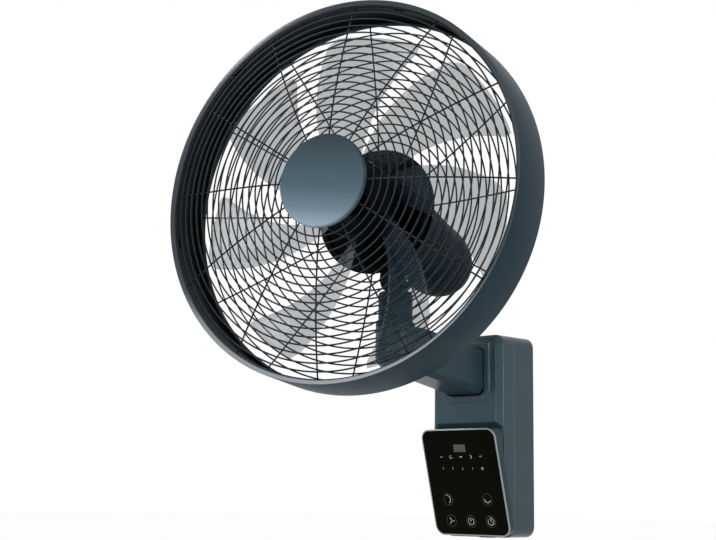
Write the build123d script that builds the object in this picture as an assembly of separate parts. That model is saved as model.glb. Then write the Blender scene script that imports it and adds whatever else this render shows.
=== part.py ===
from build123d import *
import os
from math import acos, asin, atan, cos, pi, radians, sin, sqrt, tan

# Wall mounted 40 cm fan: a wall bracket with a touch panel, an arm, a swinging neck and a tilting fan head.
# Millimetres. The wall is the plane Y = 0 and +Y points into it, +X is to the right as one faces the wall,
# +Z is up, and the origin is the middle of the bracket's wall face. The fan blows towards -Y.

# ---- Driving dimensions: wall bracket
BRACKET_W = 114.4
BRACKET_H = 254.0
BRACKET_D = 68.6
BRACKET_CORNER = 14.0        # corner radius seen from the front
BRACKET_EDGE = 7.0           # chamfer along the front edge
EDGE_SOFT = 1.6              # rounding of the chamfer's own edges
BROW_Z = 16.0                # lower edge of the front face; under it the cover steps back
SHELL_DEPTH = 40.0           # rear shell; the front cover makes up the rest of the depth
SHELL_WALL = 2.5
PLATE_W = 88.0               # steel plate that is screwed to the wall
PLATE_H = 200.0
PLATE_T = 2.0
PLATE_FIT = 0.5
HOOK_X = (-20.0, 20.0)       # hooks of the plate that the rear shell hangs on
HOOK_W = 12.0
HOOK_Z = 60.0
LOCK_X = (-38.0, 38.0)       # screws that lock the rear shell to the plate
LOCK_Z = -92.0
POST_R = 4.5                 # screw posts
POST_H = 9.0
COVER_POST = (47.0, -112.0, 116.0)   # side place, low and high place of the cover's posts
COVER_SCREW_BITE = 3.5
COVER_SEAT = 6.0
WALL_HOLE_X = 60.0           # wall screw pattern, hole to hole
WALL_HOLE_Z = 160.0
WALL_HOLE_R = 2.75
CABLE_R = 4.0                # cable inlet bore in the grommet
GROMMET_R = 8.0
GROMMET_FLANGE_R = 10.5
GROMMET_FLANGE_T = 1.0
INLET_Y = -22.0              # cable inlet under the bracket, measured from the wall
POWER_W = 92.0               # mains board
POWER_H = 106.0
POWER_Z = -33.0
POWER_POST_X = 40.0
POWER_POST_Z = 43.0

# ---- Driving dimensions: control panel
PANEL_W = 121.0
PANEL_H = 138.0
PANEL_CORNER = 13.0
PANEL_TILT = 14.6            # lean of the glass: its top stands further out
PANEL_Z = -59.0              # centre height of the glass, in the plane of the bracket's front face
PANEL_T = 10.0               # glass face to the back of the housing
GLASS_T = 2.2
GLASS_FIT = 0.3
TRIM_W = 1.7
TRIM_T = 1.0
TRIM_PROUD = 0.5
HOUSING_WALL = 2.0
LEDGE_W = 2.0                # ledge under the glass
BOARD_T = 1.6
BOARD_FIT = 1.5
STANDOFF = 1.6
STANDOFF_R = 2.5
PANEL_SCREW_X = 44.0
PANEL_SCREW_Z = (-50.0, 4.0)
PANEL_PORT = (30.0, 12.0, 4.0)       # wiring port behind the panel: width, height, corner
KEY_X = 32.0                 # touch places
KEYS_UP = (47.0, 19.0)       # heights of the two rows of touch places over the panel's lower edge
KEY_SPRING_R = 4.5
LAMP_STEP = 16.0             # lamps stand in two rows of five
LAMPS_DOWN = (51.0, 36.0)    # the two rows below the panel's upper edge
DISPLAY_DOWN = 25.0

# ---- Driving dimensions: arm and neck
ARM_W = 60.0
ARM_H = 55.0
ARM_RISE = 9.6               # slope of the arm, degrees
ARM_FOOT_Z = 52.0            # underside of the arm where it leaves the bracket's front face
ARM_WALL = 2.5
ARM_CHAMFER = 7.0
ARM_GAP = 1.6                # gap between the arm and the recess it comes out of
ARM_REACH = 202.0            # wall to swing axis
TURRET_R = 24.0
FRAME_W = 8.5                # raised frame round the arm's recess
FRAME_PROUD = 1.5
FLANGE_T = 4.0
FLANGE_W = 84.0
FLANGE_LOW = 12.0            # flange below and above the arm
FLANGE_HIGH = 11.0
FLANGE_FIT = 0.2
LID_T = 3.0
NECK_R = 21.0
NECK_BASE_T = 5.0
WASHER_T = 1.0
SPINDLE_R = 9.0
SPINDLE_BORE = 6.0
BUSH_WALL = 2.0
BUSH_H = 10.0
LOW_BOSS_Z = 60.0            # foot of the boss and posts inside the arm
CLIP_T = 1.0                 # clip on the spindle
CLIP_FIT = 0.2
NECK_SHOULDER_GAP = 3.0
RUN_FIT = 0.05               # radial running clearance of bushes, pins and shafts
SEAT_FIT = 0.02              # radial clearance of parts that sit fast in each other
REST_SWING = 15.4            # the head's turn at rest, towards +X
REST_TILT = 4.9              # the head's tilt at rest, nose up

# ---- Driving dimensions: fan head (axial places are measured behind the front lip)
PIVOT_Z = 185.3              # height of the tilt axis
LIP_AHEAD = 164.0            # tilt axis to the front lip
AXIS_RISE = 70.0             # tilt axis to the fan axis
SHROUD_R = 227.5
SHROUD_FLARE = 1.9           # how much larger the hoop is at its back
SHROUD_DEPTH = 68.0
SHROUD_WALL = 2.5
LIP_W = 5.5                  # the lip's face slopes inward and back from its outer edge
LIP_FALL = 2.6
LIP_T = 1.9
LIP_EDGE = 0.8
REAR_FLANGE_W = 7.0
BADGE_R = 54.7
BADGE_AHEAD = 29.3
BADGE_T = 6.0
WIRE = 2.0                   # guard wires
RIM_WIRE = 4.0
RIM_GAP = 0.8                # rim wire to the hoop's wall
WELD_GAP = 0.1               # play between wires that lie on each other
SPOKE_FOOT = 6.0             # flat end of a spoke under the badge or the motor plate's ring
FRONT_RINGS = 17
REAR_RINGS = 13
SPOKES = 12
SPOKE_TURN = -2.5            # turn of the front spokes from the upright, degrees
CLIPS = 6                    # blocks that keep the front guard in the lip
CLIP_HALF = 6.0
MOTOR_PLATE_R = 77.0
MOTOR_PLATE_T = 2.5
MOTOR_PLATE_AT = 103.0
CAN_R = 47.0
CAN_DROP = 8.0               # the housing's middle below the fan axis, at the motor plate
CAN_WALL = 2.5
CAN_LENGTH = 88.0
COVER_SECTIONS = [(0, 47.0, 8.0), (32, 47.0, 14.0), (72, 46.5, 18.5),
                  (103, 42.0, 20.5), (119, 33.0, 21.0), (126, 18.0, 21.0)]  # way back, radius, drop
VENTS = 12                   # cooling slots in the rear cover's end
VENT_W = 4.0
VENT_R = (20.0, 34.0)        # where a slot starts and ends
STATOR_R = 34.0
STATOR_BORE = 17.0
STATOR_RIM = 6.0
STATOR_T = 24.0
STATOR_AT = 116.0
ROTOR_GAP = 0.6
SHAFT_R = 4.0
SHAFT_FRONT_AT = 22.0
BEARING_R = 11.0
BEARING_T = 7.0
BEARING_LIP = 0.8            # wall that stops a bearing in its seat
END_BELL_AT = 146.0
END_BELL_T = 3.0
PILLAR_R = 4.0               # the end bell's pillars beside the stator
PILLAR_ANGLES = (0, 180, 270)
BOARD_STANDOFF = 40.0        # motor driver board behind the end bell
DRIVER_W = 56.0
DRIVER_H = 44.0
DRIVER_DROP = 2.0            # the board's middle below the fan axis
DRIVER_FEET = (24.0, 16.0)

# ---- Driving dimensions: impeller
BLADES = 7
TIP_GAP = 27.5               # blade tip to the hoop's outer edge
HUB_R = 46.0
HUB_AT = 40.0
HUB_DEPTH = 32.0
HUB_WALL = 2.5
HUB_ROUND = 6.0
BOSS_R = 9.0
NUT_R = 13.0
NUT_T = 14.0
BLADE_T = 2.2
BLADE_ARC = 31.0             # how wide a blade is seen from the front, degrees
BLADE_SWEEP = 0.191          # lag of a blade's middle outward, degrees per millimetre
BLADE_CAMBER = 0.05          # rise of the arched section over its chord
BLADE_ROOT_FRONT = 42.0      # front and back edge behind the lip, at the hub and at the tip
BLADE_ROOT_BACK = 70.5
BLADE_TIP_FRONT = 29.0
BLADE_TIP_BACK = 65.0
BLADE_PHASE = 10.4           # angle of one blade's root at rest, seen from the front

# ---- Driving dimensions: swing and tilt drives
GEAR_MODULE = 1.25
PRESSURE_ANGLE = 20.0
BACKLASH = 0.25
PINION_TEETH = 10
SWING_TEETH = 30             # full-circle count of the swing sector
TILT_TEETH = 32              # full-circle count of the tilt sector
GEAR_T = 6.0
DRIVE_SHAFT_R = 2.0
DRIVE_OFFSET = 8.0           # output shaft to the middle of a drive motor
SWING_MOTOR_R = 14.0
SWING_MOTOR_T = 18.0
TILT_MOTOR_R = 12.0
TILT_MOTOR_T = 15.0
MOTOR_EAR_X = 17.5           # screw ears of the swing motor
EAR_PLATE_T = 1.0
SWING_GEAR_DROP = 19.5       # turret top down to the underside of the swing gears
SECTOR_HUB_R = 8.0
SWING_LIMIT = 40.0           # each way from straight ahead
TILT_LIMIT = 20.0            # each way from level
PIN_R = 4.0
TONGUE_W = 16.0
TONGUE_R = 13.0
EAR_T = 7.0
EAR_FIT = 0.3

# ---- Screws
SCREW_R = 1.5
SCREW_HEAD_R = 3.0
SCREW_HEAD_T = 2.0
SCREW_FIT = 0.2
FAR = 400.0                  # longer than any piece: how far cutting blocks reach

# ---- Worked-out sizes
FRONT_Y = -BRACKET_D
SPLIT_Y = -SHELL_DEPTH
REAR_WALL_Y = -PLATE_T - 3.0
ARM_SLOPE = tan(radians(ARM_RISE))
TURRET_TOP = ARM_FOOT_Z + ARM_H + (ARM_REACH - TURRET_R - BRACKET_D) * ARM_SLOPE
NECK_FLOOR = TURRET_TOP + WASHER_T
SWING_GEAR_Z = TURRET_TOP - SWING_GEAR_DROP
SHROUD_BACK_R = SHROUD_R + SHROUD_FLARE
BLADE_TIP_R = SHROUD_R - TIP_GAP
FRONT_CENTRE = BADGE_AHEAD - BADGE_T - WIRE / 2
WALL_TOP = -LIP_FALL - LIP_T
FRONT_RIM_Z = WALL_TOP - WELD_GAP - RIM_WIRE / 2
REAR_CENTRE = -MOTOR_PLATE_AT + WIRE / 2
REAR_RIM_Z = -SHROUD_DEPTH + SHROUD_WALL + RIM_WIRE / 2


def wall_inside(z0, z1):
    """Smallest inside radius of the hoop's wall between two heights."""
    taper = SHROUD_FLARE / (SHROUD_DEPTH - SHROUD_WALL + WALL_TOP)
    return min(SHROUD_R - SHROUD_WALL + (WALL_TOP - z) * taper for z in (z0, z1))


RIM_R = wall_inside(FRONT_RIM_Z - RIM_WIRE / 2, FRONT_RIM_Z + RIM_WIRE / 2) - RIM_WIRE / 2 - RIM_GAP
REAR_RIM_R = wall_inside(REAR_RIM_Z - RIM_WIRE / 2, REAR_RIM_Z + RIM_WIRE / 2) - RIM_WIRE / 2 - RIM_GAP
SWING_DRIVE = GEAR_MODULE * (SWING_TEETH + PINION_TEETH) / 2
TILT_DRIVE = GEAR_MODULE * (TILT_TEETH + PINION_TEETH) / 2
SWING_PINION_Y = -ARM_REACH + SWING_DRIVE
SWING_MOTOR_Y = SWING_PINION_Y + DRIVE_OFFSET
SWING_MOTOR_TOP = SWING_GEAR_Z - 1.0
ARM_BOSS_TOP = SWING_GEAR_Z - 8.0
COVER_SCREWS = [(x, z) for x in (-COVER_POST[0], COVER_POST[0]) for z in COVER_POST[1:]]
FLANGE_Z = (ARM_FOOT_Z - FLANGE_LOW, ARM_FOOT_Z + ARM_H + FLANGE_HIGH)
FLANGE_SCREWS = [(x, z) for x in (-FLANGE_W / 2 + POST_R, FLANGE_W / 2 - POST_R)
                 for z in (FLANGE_Z[0] + 7, FLANGE_Z[1] - 7)]
BOARD_POSTS = [(x, POWER_Z + z) for x in (-POWER_POST_X, POWER_POST_X) for z in (-POWER_POST_Z, POWER_POST_Z)]
BOARD_Y = REAR_WALL_Y - POST_H
GLASS_W = PANEL_W - 2 * TRIM_W - 2 * GLASS_FIT
GLASS_H = PANEL_H - 2 * TRIM_W - 2 * GLASS_FIT
HOUSING_TOP = PANEL_Z + PANEL_H / 2 * cos(radians(PANEL_TILT)) + TRIM_T * sin(radians(PANEL_TILT))
TRAY_W = PANEL_W - 2 * TRIM_W - 2 * LEDGE_W
TRAY_H = PANEL_H - 2 * TRIM_W - 2 * LEDGE_W
PANEL_SCREWS = [(x, z) for x in (-PANEL_SCREW_X, PANEL_SCREW_X) for z in PANEL_SCREW_Z]
KEY_Z = [up - PANEL_H / 2 for up in KEYS_UP]
TOUCH_KEYS = [(-KEY_X, KEY_Z[0]), (KEY_X, KEY_Z[0])] + [(x, KEY_Z[1]) for x in (-KEY_X, 0, KEY_X)]
DISPLAY_Z = PANEL_H / 2 - DISPLAY_DOWN
LAMPS = [(LAMP_STEP * (i - 2), PANEL_H / 2 - down) for down in LAMPS_DOWN for i in range(5)]
BOARD_FEET = [(x, z) for x in (-30, 30) for z in (-30, 25)]
CAN_CENTRE = AXIS_RISE - CAN_DROP        # the housing's middle over the tilt axis
CAN_FRONT = -MOTOR_PLATE_AT - MOTOR_PLATE_T
END_BELL_BACK = -END_BELL_AT - END_BELL_T
PILLARS = STATOR_R + PILLAR_R + 0.3
BEARING_PLACES = (-MOTOR_PLATE_AT - BEARING_LIP, -END_BELL_AT + BEARING_T - 2.2)

# Places: the swinging neck, the tilting head, and the fan axis (local +Z forward, origin at the lip centre).
NECK = Pos(0, -ARM_REACH, 0) * Rot(0, 0, REST_SWING)
HEAD = NECK * Pos(0, 0, PIVOT_Z) * Rot(-REST_TILT, 0, 0)
AXIAL = HEAD * Pos(0, -LIP_AHEAD, AXIS_RISE) * Rot(90, 0, 0)
# The panel's plane: local +Z out of the glass, +Y up along it, origin at the middle of the glass face.
PANEL = Pos(0, FRONT_Y, PANEL_Z) * Rot(90 + PANEL_TILT, 0, 0)

nodes = {}


def add(name, *shapes):
    """Keep one named sub-part, made of one or more separate solids."""
    solids = [solid for shape in shapes for solid in shape.solids()]
    nodes[name] = solids[0] if len(solids) == 1 else Compound(children=solids)


def box(x0, x1, y0, y1, z0, z1):
    """A box between two corners."""
    return Pos((x0 + x1) / 2, (y0 + y1) / 2, (z0 + z1) / 2) * Box(x1 - x0, y1 - y0, z1 - z0)


def rod(radius, start, end):
    """A cylinder about local Z between two heights."""
    return Pos(0, 0, (start + end) / 2) * Cylinder(radius, end - start)


def tube(outer, inner, start, end):
    """A tube about local Z."""
    return rod(outer, start, end) - rod(inner, start - 1, end + 1)


def rounded_slab(width, height, corner, z0, z1):
    """A slab with rounded corners in the local XY plane."""
    return Pos(0, 0, z0) * extrude(RectangleRounded(width, height, corner), z1 - z0)


def screw(length, head_r=SCREW_HEAD_R, shank_r=SCREW_R):
    """A pan head screw: the head's seat is at Z = 0, the shank runs down."""
    return rod(head_r, 0, SCREW_HEAD_T) + rod(shank_r, -length, 0.01)


def turned(points):
    """A solid of revolution about local Z from (radius, z) points."""
    outline = Polyline(*[(r, 0, z) for r, z in points], close=True)
    return revolve(make_face(outline), Axis.Z)


def to_wall(shape):
    """Turn a shape drawn in XY with +Z up so that its +Z points away from the wall."""
    return Rot(90, 0, 0) * shape


def gear_outline(teeth, keep, wheel):
    """Involute teeth about the origin; keep is how many stand, centred on +X; wheel closes the outline."""
    pitch_r = GEAR_MODULE * teeth / 2
    base_r = pitch_r * cos(radians(PRESSURE_ANGLE))
    tip_r = pitch_r + 0.9 * GEAR_MODULE
    root_r = pitch_r - 1.2 * GEAR_MODULE
    step = 2 * pi / teeth

    def roll(radius):
        angle = acos(min(1.0, base_r / radius))
        return tan(angle) - angle

    half = pi / (2 * teeth) - BACKLASH / (2 * pitch_r) + roll(pitch_r)
    points = []
    for tooth in range(keep):
        middle = (tooth - (keep - 1) / 2) * step
        flank = [(root_r, half), (max(base_r, root_r + 0.3), half - roll(max(base_r, root_r + 0.3))),
                 (pitch_r, half - roll(pitch_r)), (tip_r, half - roll(tip_r))]
        for radius, angle in flank:
            points.append((radius, middle - angle))
        for radius, angle in reversed(flank):
            points.append((radius, middle + angle))
    corners = [(r * cos(a), r * sin(a)) for r, a in points]
    return corners + wheel


def full_gear(teeth):
    """A whole pinion with one tooth centred on +X."""
    gear = extrude(make_face(Polyline(*gear_outline(teeth, teeth, []), close=True)), GEAR_T)
    return Rot(0, 0, (teeth - 1) * 180 / teeth) * gear


def sector_gear(teeth, limit, hub_r):
    """A toothed sector on a round hub, its middle tooth on +X, with teeth for a swing of limit each way."""
    keep = 2 * int(limit / 360 * teeth + 2) + 1
    sector = extrude(make_face(Polyline(*gear_outline(teeth, keep, [(0, 0)]), close=True)), GEAR_T)
    return sector + rod(hub_r, 0, GEAR_T)


# ================================================================ Wall bracket

def wall_plate():
    """Steel plate with four screw holes, a cable window and two hooks that the bracket hangs on."""
    plate = box(-PLATE_W / 2, PLATE_W / 2, -PLATE_T, 0, -PLATE_H / 2, PLATE_H / 2)
    holes = [Pos(x, 0, z) * to_wall(rod(WALL_HOLE_R, -10, 10))
             for x in (-WALL_HOLE_X / 2, WALL_HOLE_X / 2) for z in (-WALL_HOLE_Z / 2, WALL_HOLE_Z / 2)]
    window = box(-18, 18, -10, 10, -30, 30)
    for x in HOOK_X:
        plate += box(x - HOOK_W / 2, x + HOOK_W / 2, REAR_WALL_Y - 3.5, -PLATE_T, HOOK_Z, HOOK_Z + 2)
        plate += box(x - HOOK_W / 2, x + HOOK_W / 2, REAR_WALL_Y - 3.5, REAR_WALL_Y - 1.5, HOOK_Z, HOOK_Z + 8)
    for x in LOCK_X:
        plate -= Pos(x, 0, LOCK_Z) * to_wall(rod(SCREW_R + SEAT_FIT, -10, 10))
    return plate - holes - window


def bracket_block(inset, y_back, y_front):
    """The bracket's rounded outline as a block, drawn in by inset."""
    sketch = RectangleRounded(BRACKET_W - 2 * inset, BRACKET_H - 2 * inset, BRACKET_CORNER - inset)
    return Pos(0, y_back, 0) * to_wall(extrude(sketch, y_back - y_front))


def rear_shell():
    """Moulded rear shell: open to the front, pocketed for the plate, with posts for arm and board."""
    shell = bracket_block(0, 0, SPLIT_Y) - bracket_block(SHELL_WALL, REAR_WALL_Y, SPLIT_Y - 1)
    pocket_w = PLATE_W / 2 + PLATE_FIT
    pocket_h = PLATE_H / 2 + PLATE_FIT
    shell -= box(-pocket_w, pocket_w, -PLATE_T, 1, -pocket_h, pocket_h)
    for x in HOOK_X:
        shell -= box(x - HOOK_W / 2 - 1, x + HOOK_W / 2 + 1, REAR_WALL_Y - 1, 0, HOOK_Z - 1, HOOK_Z + 9)
    for x, z in FLANGE_SCREWS:
        shell += Pos(x, REAR_WALL_Y, z) * to_wall(rod(POST_R, 0, REAR_WALL_Y - SPLIT_Y - FLANGE_T))
    for x, z in COVER_SCREWS:
        shell += Pos(x, REAR_WALL_Y, z) * to_wall(rod(POST_R, 0, REAR_WALL_Y - SPLIT_Y))
        shell -= Pos(x, 1, z) * to_wall(rod(SCREW_R + SCREW_FIT, 0, SHELL_DEPTH + 2))
        shell -= Pos(x, 1, z) * to_wall(rod(SCREW_HEAD_R + SCREW_FIT, 0, SHELL_DEPTH + 1 - COVER_SEAT))
    for x, z in BOARD_POSTS:
        shell += Pos(x, REAR_WALL_Y, z) * to_wall(rod(POST_R, 0, POST_H))
    for x, z in FLANGE_SCREWS + BOARD_POSTS:
        shell -= Pos(x, REAR_WALL_Y - 1.5, z) * to_wall(rod(SCREW_R + SEAT_FIT, 0, SHELL_DEPTH))
    for x in LOCK_X:
        shell -= Pos(x, 1, LOCK_Z) * to_wall(rod(SCREW_R + SCREW_FIT, 0, 10))
    shell -= Pos(0, INLET_Y, -BRACKET_H / 2) * rod(GROMMET_R, -5, 5)
    return shell


def panel_cut(offset):
    """Everything in front of a plane parallel to the glass, offset behind it."""
    return PANEL * Pos(0, 0, FAR / 2 - offset) * Box(FAR, FAR, FAR)


def recess(inset, y_back, y_front):
    """The opening that the arm comes out of, as a block."""
    width = ARM_W + 2 * ARM_GAP - 2 * inset
    low = ARM_FOOT_Z - ARM_GAP + inset
    high = ARM_FOOT_Z + ARM_H + ARM_GAP - inset
    sketch = Rectangle(width, high - low)
    sketch = fillet(sketch.vertices().group_by(Axis.Y)[0], ARM_CHAMFER + ARM_GAP - inset)
    return Pos(0, y_back, (low + high) / 2) * to_wall(extrude(sketch, y_back - y_front))


def brow_cut(inset):
    """Everything in front of the set-back face under the brow, whose underside slopes back at 45 degrees."""
    low = BROW_Z + inset * sqrt(2)
    back = BRACKET_EDGE + inset
    points = [(-FAR, low + FAR), (back, low - back), (back, -FAR), (-FAR, -FAR)]
    side = make_face(Polyline(*[(0, FRONT_Y + y, z) for y, z in points], close=True))
    return extrude(side, BRACKET_W, dir=(1, 0, 0), both=True)


def front_form(inset, soft):
    """The front cover drawn in by inset: chamfered, set back under its brow and cut off at the panel."""
    form = bracket_block(inset, SPLIT_Y + inset, FRONT_Y + inset)
    edge = BRACKET_EDGE - inset * (2 - sqrt(2))
    form = chamfer(form.faces().sort_by(Axis.Y)[0].edges(), edge)
    if soft:
        rings = form.edges().filter_by(lambda e: e.bounding_box().size.Y < 0.01).group_by(Axis.Y)
        form = fillet(rings[0] + rings[1], soft)
    return form - brow_cut(inset) - panel_cut(PANEL_T + inset)


def front_cover():
    """Front cover: soft chamfer, raised frame round the arm's recess and a leaning seat for the panel."""
    frame = recess(-FRAME_W, FRONT_Y + 1, FRONT_Y - FRAME_PROUD)
    hollow = front_form(SHELL_WALL, 0)
    cover = front_form(0, EDGE_SOFT) + fillet(frame.faces().sort_by(Axis.Y)[0].edges(), FRAME_PROUD * 0.6)
    cover -= hollow
    cover += recess(-SHELL_WALL, SPLIT_Y - FLANGE_FIT, FRONT_Y + SHELL_WALL)
    cover -= recess(0, SPLIT_Y + 1, FRONT_Y - FRAME_PROUD - 1)
    for x, z in COVER_SCREWS:
        cover += Pos(x, SPLIT_Y, z) * to_wall(rod(POST_R, 0, BRACKET_D - SHELL_DEPTH)) & hollow
        cover -= Pos(x, SPLIT_Y + 1, z) * to_wall(rod(SCREW_R + SEAT_FIT, 0, COVER_SCREW_BITE + 1))
    for x, z in PANEL_SCREWS:
        cover -= PANEL * Pos(x, z, -PANEL_T) * rod(SCREW_R + SCREW_FIT, -SHELL_WALL - 3, 1)
    cover -= PANEL * Pos(0, 0, -PANEL_T) * rounded_slab(*PANEL_PORT, -SHELL_WALL - 3, 1)
    return cover


def panel_housing():
    """Leaning tray with a ledge for the glass, a level top and a wedge that fills the space behind it."""
    tray = rounded_slab(PANEL_W, PANEL_H, PANEL_CORNER, -PANEL_T, -TRIM_T)
    tray -= rounded_slab(TRAY_W, TRAY_H, PANEL_CORNER - TRIM_W - LEDGE_W, -PANEL_T + HOUSING_WALL, 1)
    tray -= rounded_slab(PANEL_W - 2 * TRIM_W, PANEL_H - 2 * TRIM_W, PANEL_CORNER - TRIM_W, -GLASS_T, 1)
    wedge = PANEL * rounded_slab(PANEL_W - 8, PANEL_H, PANEL_CORNER, -PANEL_T - PANEL_H / 2, -PANEL_T)
    wedge -= box(-FAR, FAR, FRONT_Y + BRACKET_EDGE, FAR, -FAR, FAR)
    tray = PANEL * tray + wedge - box(-FAR, FAR, -FAR, FAR, HOUSING_TOP, FAR)
    for x, z in PANEL_SCREWS:
        tray -= PANEL * Pos(x, z, -PANEL_T) * rod(SCREW_R + SEAT_FIT, -1, HOUSING_WALL + 1)
    tray -= PANEL * Pos(0, 0, -PANEL_T) * rounded_slab(*PANEL_PORT, -1, HOUSING_WALL + 1)
    return tray


def panel_trim():
    """Light bevelled frame round the glass."""
    frame = rounded_slab(PANEL_W, PANEL_H, PANEL_CORNER, -TRIM_T, TRIM_PROUD)
    frame = chamfer(frame.faces().sort_by(Axis.Z)[-1].edges(), TRIM_PROUD)
    frame -= rounded_slab(PANEL_W - 2 * TRIM_W, PANEL_H - 2 * TRIM_W, PANEL_CORNER - TRIM_W, -TRIM_T - 1, 5)
    return PANEL * frame


def control_panel():
    """Glass, touch board, display, indicator lamps, key springs, remote receiver and buzzer."""
    add("panel_housing", panel_housing())
    add("panel_trim", panel_trim())
    glass_corner = PANEL_CORNER - TRIM_W - GLASS_FIT
    add("control_glass", PANEL * rounded_slab(GLASS_W, GLASS_H, glass_corner, -GLASS_T, 0))
    board_top = -PANEL_T + HOUSING_WALL + BOARD_T + STANDOFF
    board = rounded_slab(TRAY_W - 2 * BOARD_FIT, TRAY_H - 2 * BOARD_FIT, 8, board_top - BOARD_T, board_top)
    add("touch_board", PANEL * board,
        *[PANEL * Pos(x, z, 0) * rod(STANDOFF_R, -PANEL_T + HOUSING_WALL, board_top - BOARD_T)
          for x, z in BOARD_FEET])
    gap = -GLASS_T - board_top
    add("display_module", PANEL * Pos(0, DISPLAY_Z, board_top) * rounded_slab(19, 10, 0.8, 0, gap))
    add("indicator_lamps", *[PANEL * Pos(x, z, board_top) * rounded_slab(3.0, 2.0, 0.3, 0, 0.8)
                             for x, z in LAMPS])
    spring = tube(KEY_SPRING_R, KEY_SPRING_R - 1, 0, gap)
    add("touch_springs", *[PANEL * Pos(x, z, board_top) * spring for x, z in TOUCH_KEYS])
    add("remote_receiver", PANEL * Pos(-20, DISPLAY_Z, board_top) * rounded_slab(6, 6, 1, 0, gap))
    add("buzzer", PANEL * Pos(24, 6, board_top - BOARD_T) * rod(4.5, -1.4, 0))
    add("panel_screws", *[PANEL * Pos(x, z, -PANEL_T - SHELL_WALL) * Rot(180, 0, 0) * screw(SHELL_WALL + 1.5)
                          for x, z in PANEL_SCREWS])


def power_board():
    """Mains board on four posts, with its relay, capacitor and terminal block."""
    add("power_board", Pos(0, BOARD_Y, POWER_Z) * to_wall(board_with_holes()))
    face = BOARD_Y - BOARD_T
    add("mains_relay", box(-34, -19, face - 15, face, -60, -38))
    add("smoothing_capacitor", Pos(20, face, -48) * to_wall(rod(7, 0, 16)))
    add("transformer", box(-12, 10, face - 16, face, -32, -8))
    add("terminal_block", box(-15, 15, face - 12, face, -84, -72))
    add("board_screws", *[Pos(x, face, z) * to_wall(screw(5)) for x, z in BOARD_POSTS])


def board_with_holes():
    board = rounded_slab(POWER_W, POWER_H, 3, 0, BOARD_T)
    for x, z in BOARD_POSTS:
        board -= Pos(x, z - POWER_Z, 0) * rod(SCREW_R + SCREW_FIT, -1, BOARD_T + 1)
    return board


def grommet():
    """Rubber inlet grommet in the bottom of the rear shell, with the cable bore."""
    low = -BRACKET_H / 2
    body = rod(GROMMET_R - SEAT_FIT, low, low + SHELL_WALL)
    body += rod(GROMMET_FLANGE_R, low - GROMMET_FLANGE_T, low)
    body += rod(GROMMET_FLANGE_R, low + SHELL_WALL, low + SHELL_WALL + GROMMET_FLANGE_T)
    return Pos(0, INLET_Y, 0) * (body - rod(CABLE_R, low - 10, low + 10))


def wall_bracket():
    add("wall_plate", wall_plate())
    add("rear_shell", rear_shell())
    add("front_cover", front_cover())
    add("lock_screws", *[Pos(x, REAR_WALL_Y, LOCK_Z) * to_wall(screw(-REAR_WALL_Y - 0.3)) for x in LOCK_X])
    cover_screw = Rot(-90, 0, 0) * screw(COVER_SEAT + COVER_SCREW_BITE)
    add("cover_screws", *[Pos(x, SPLIT_Y + COVER_SEAT, z) * cover_screw for x, z in COVER_SCREWS])
    add("cable_grommet", grommet())
    control_panel()
    power_board()


# ================================================================ Arm

def arm_profile(inset, lift=0.0):
    """Side view of the arm in front of the bracket, drawn in by inset: rising beam, level turret top."""
    tip = -ARM_REACH - TURRET_R - 5
    foot = ARM_FOOT_Z + inset
    tip_foot = foot + (FRONT_Y - tip) * ARM_SLOPE
    back_top = ARM_FOOT_Z + ARM_H - inset + lift
    top = TURRET_TOP - inset + lift
    knee = -ARM_REACH + TURRET_R
    points = [(FRONT_Y, foot), (tip, tip_foot), (tip, top), (knee, top), (FRONT_Y, back_top)]
    side = make_face(Polyline(*[(0, y, z) for y, z in points], close=True))
    return extrude(side, ARM_W, dir=(1, 0, 0), both=True)


def arm_plan(inset):
    """Top view of the arm, drawn in by inset: tapering from the bracket to the round turret."""
    radius = TURRET_R - inset
    half = ARM_W / 2 - inset
    lean = asin((ARM_W / 2 - TURRET_R) / (ARM_REACH - BRACKET_D))
    tip_x = radius * cos(lean)
    tip_y = -ARM_REACH + radius * sin(lean)
    outline = Polyline((-tip_x, tip_y), (-half, FRONT_Y), (half, FRONT_Y), (tip_x, tip_y))
    nose = ThreePointArc((tip_x, tip_y), (0, -ARM_REACH - radius), (-tip_x, tip_y))
    return extrude(make_face([*outline.edges(), nose]), PIVOT_Z)


def arm_block(inset, lift=0.0):
    """The arm from the bracket's front face forward, drawn in by inset, with its underside chamfered."""
    block = arm_profile(inset, lift) & arm_plan(inset)
    under = block.faces().filter_by(lambda f: f.normal_at().Z < -0.9).edges()
    return chamfer(under.filter_by(lambda e: e.center().Y < FRONT_Y - 1), ARM_CHAMFER - inset)


def arm_stub(inset):
    """The level end of the arm inside the bracket's recess, drawn in by inset."""
    half = ARM_W / 2 - inset
    stub = box(-half, half, FRONT_Y, SPLIT_Y, ARM_FOOT_Z + inset, ARM_FOOT_Z + ARM_H - inset)
    low_edges = stub.edges().filter_by(Axis.Y).group_by(Axis.Z)[0]
    return chamfer(low_edges, ARM_CHAMFER - inset)


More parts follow.
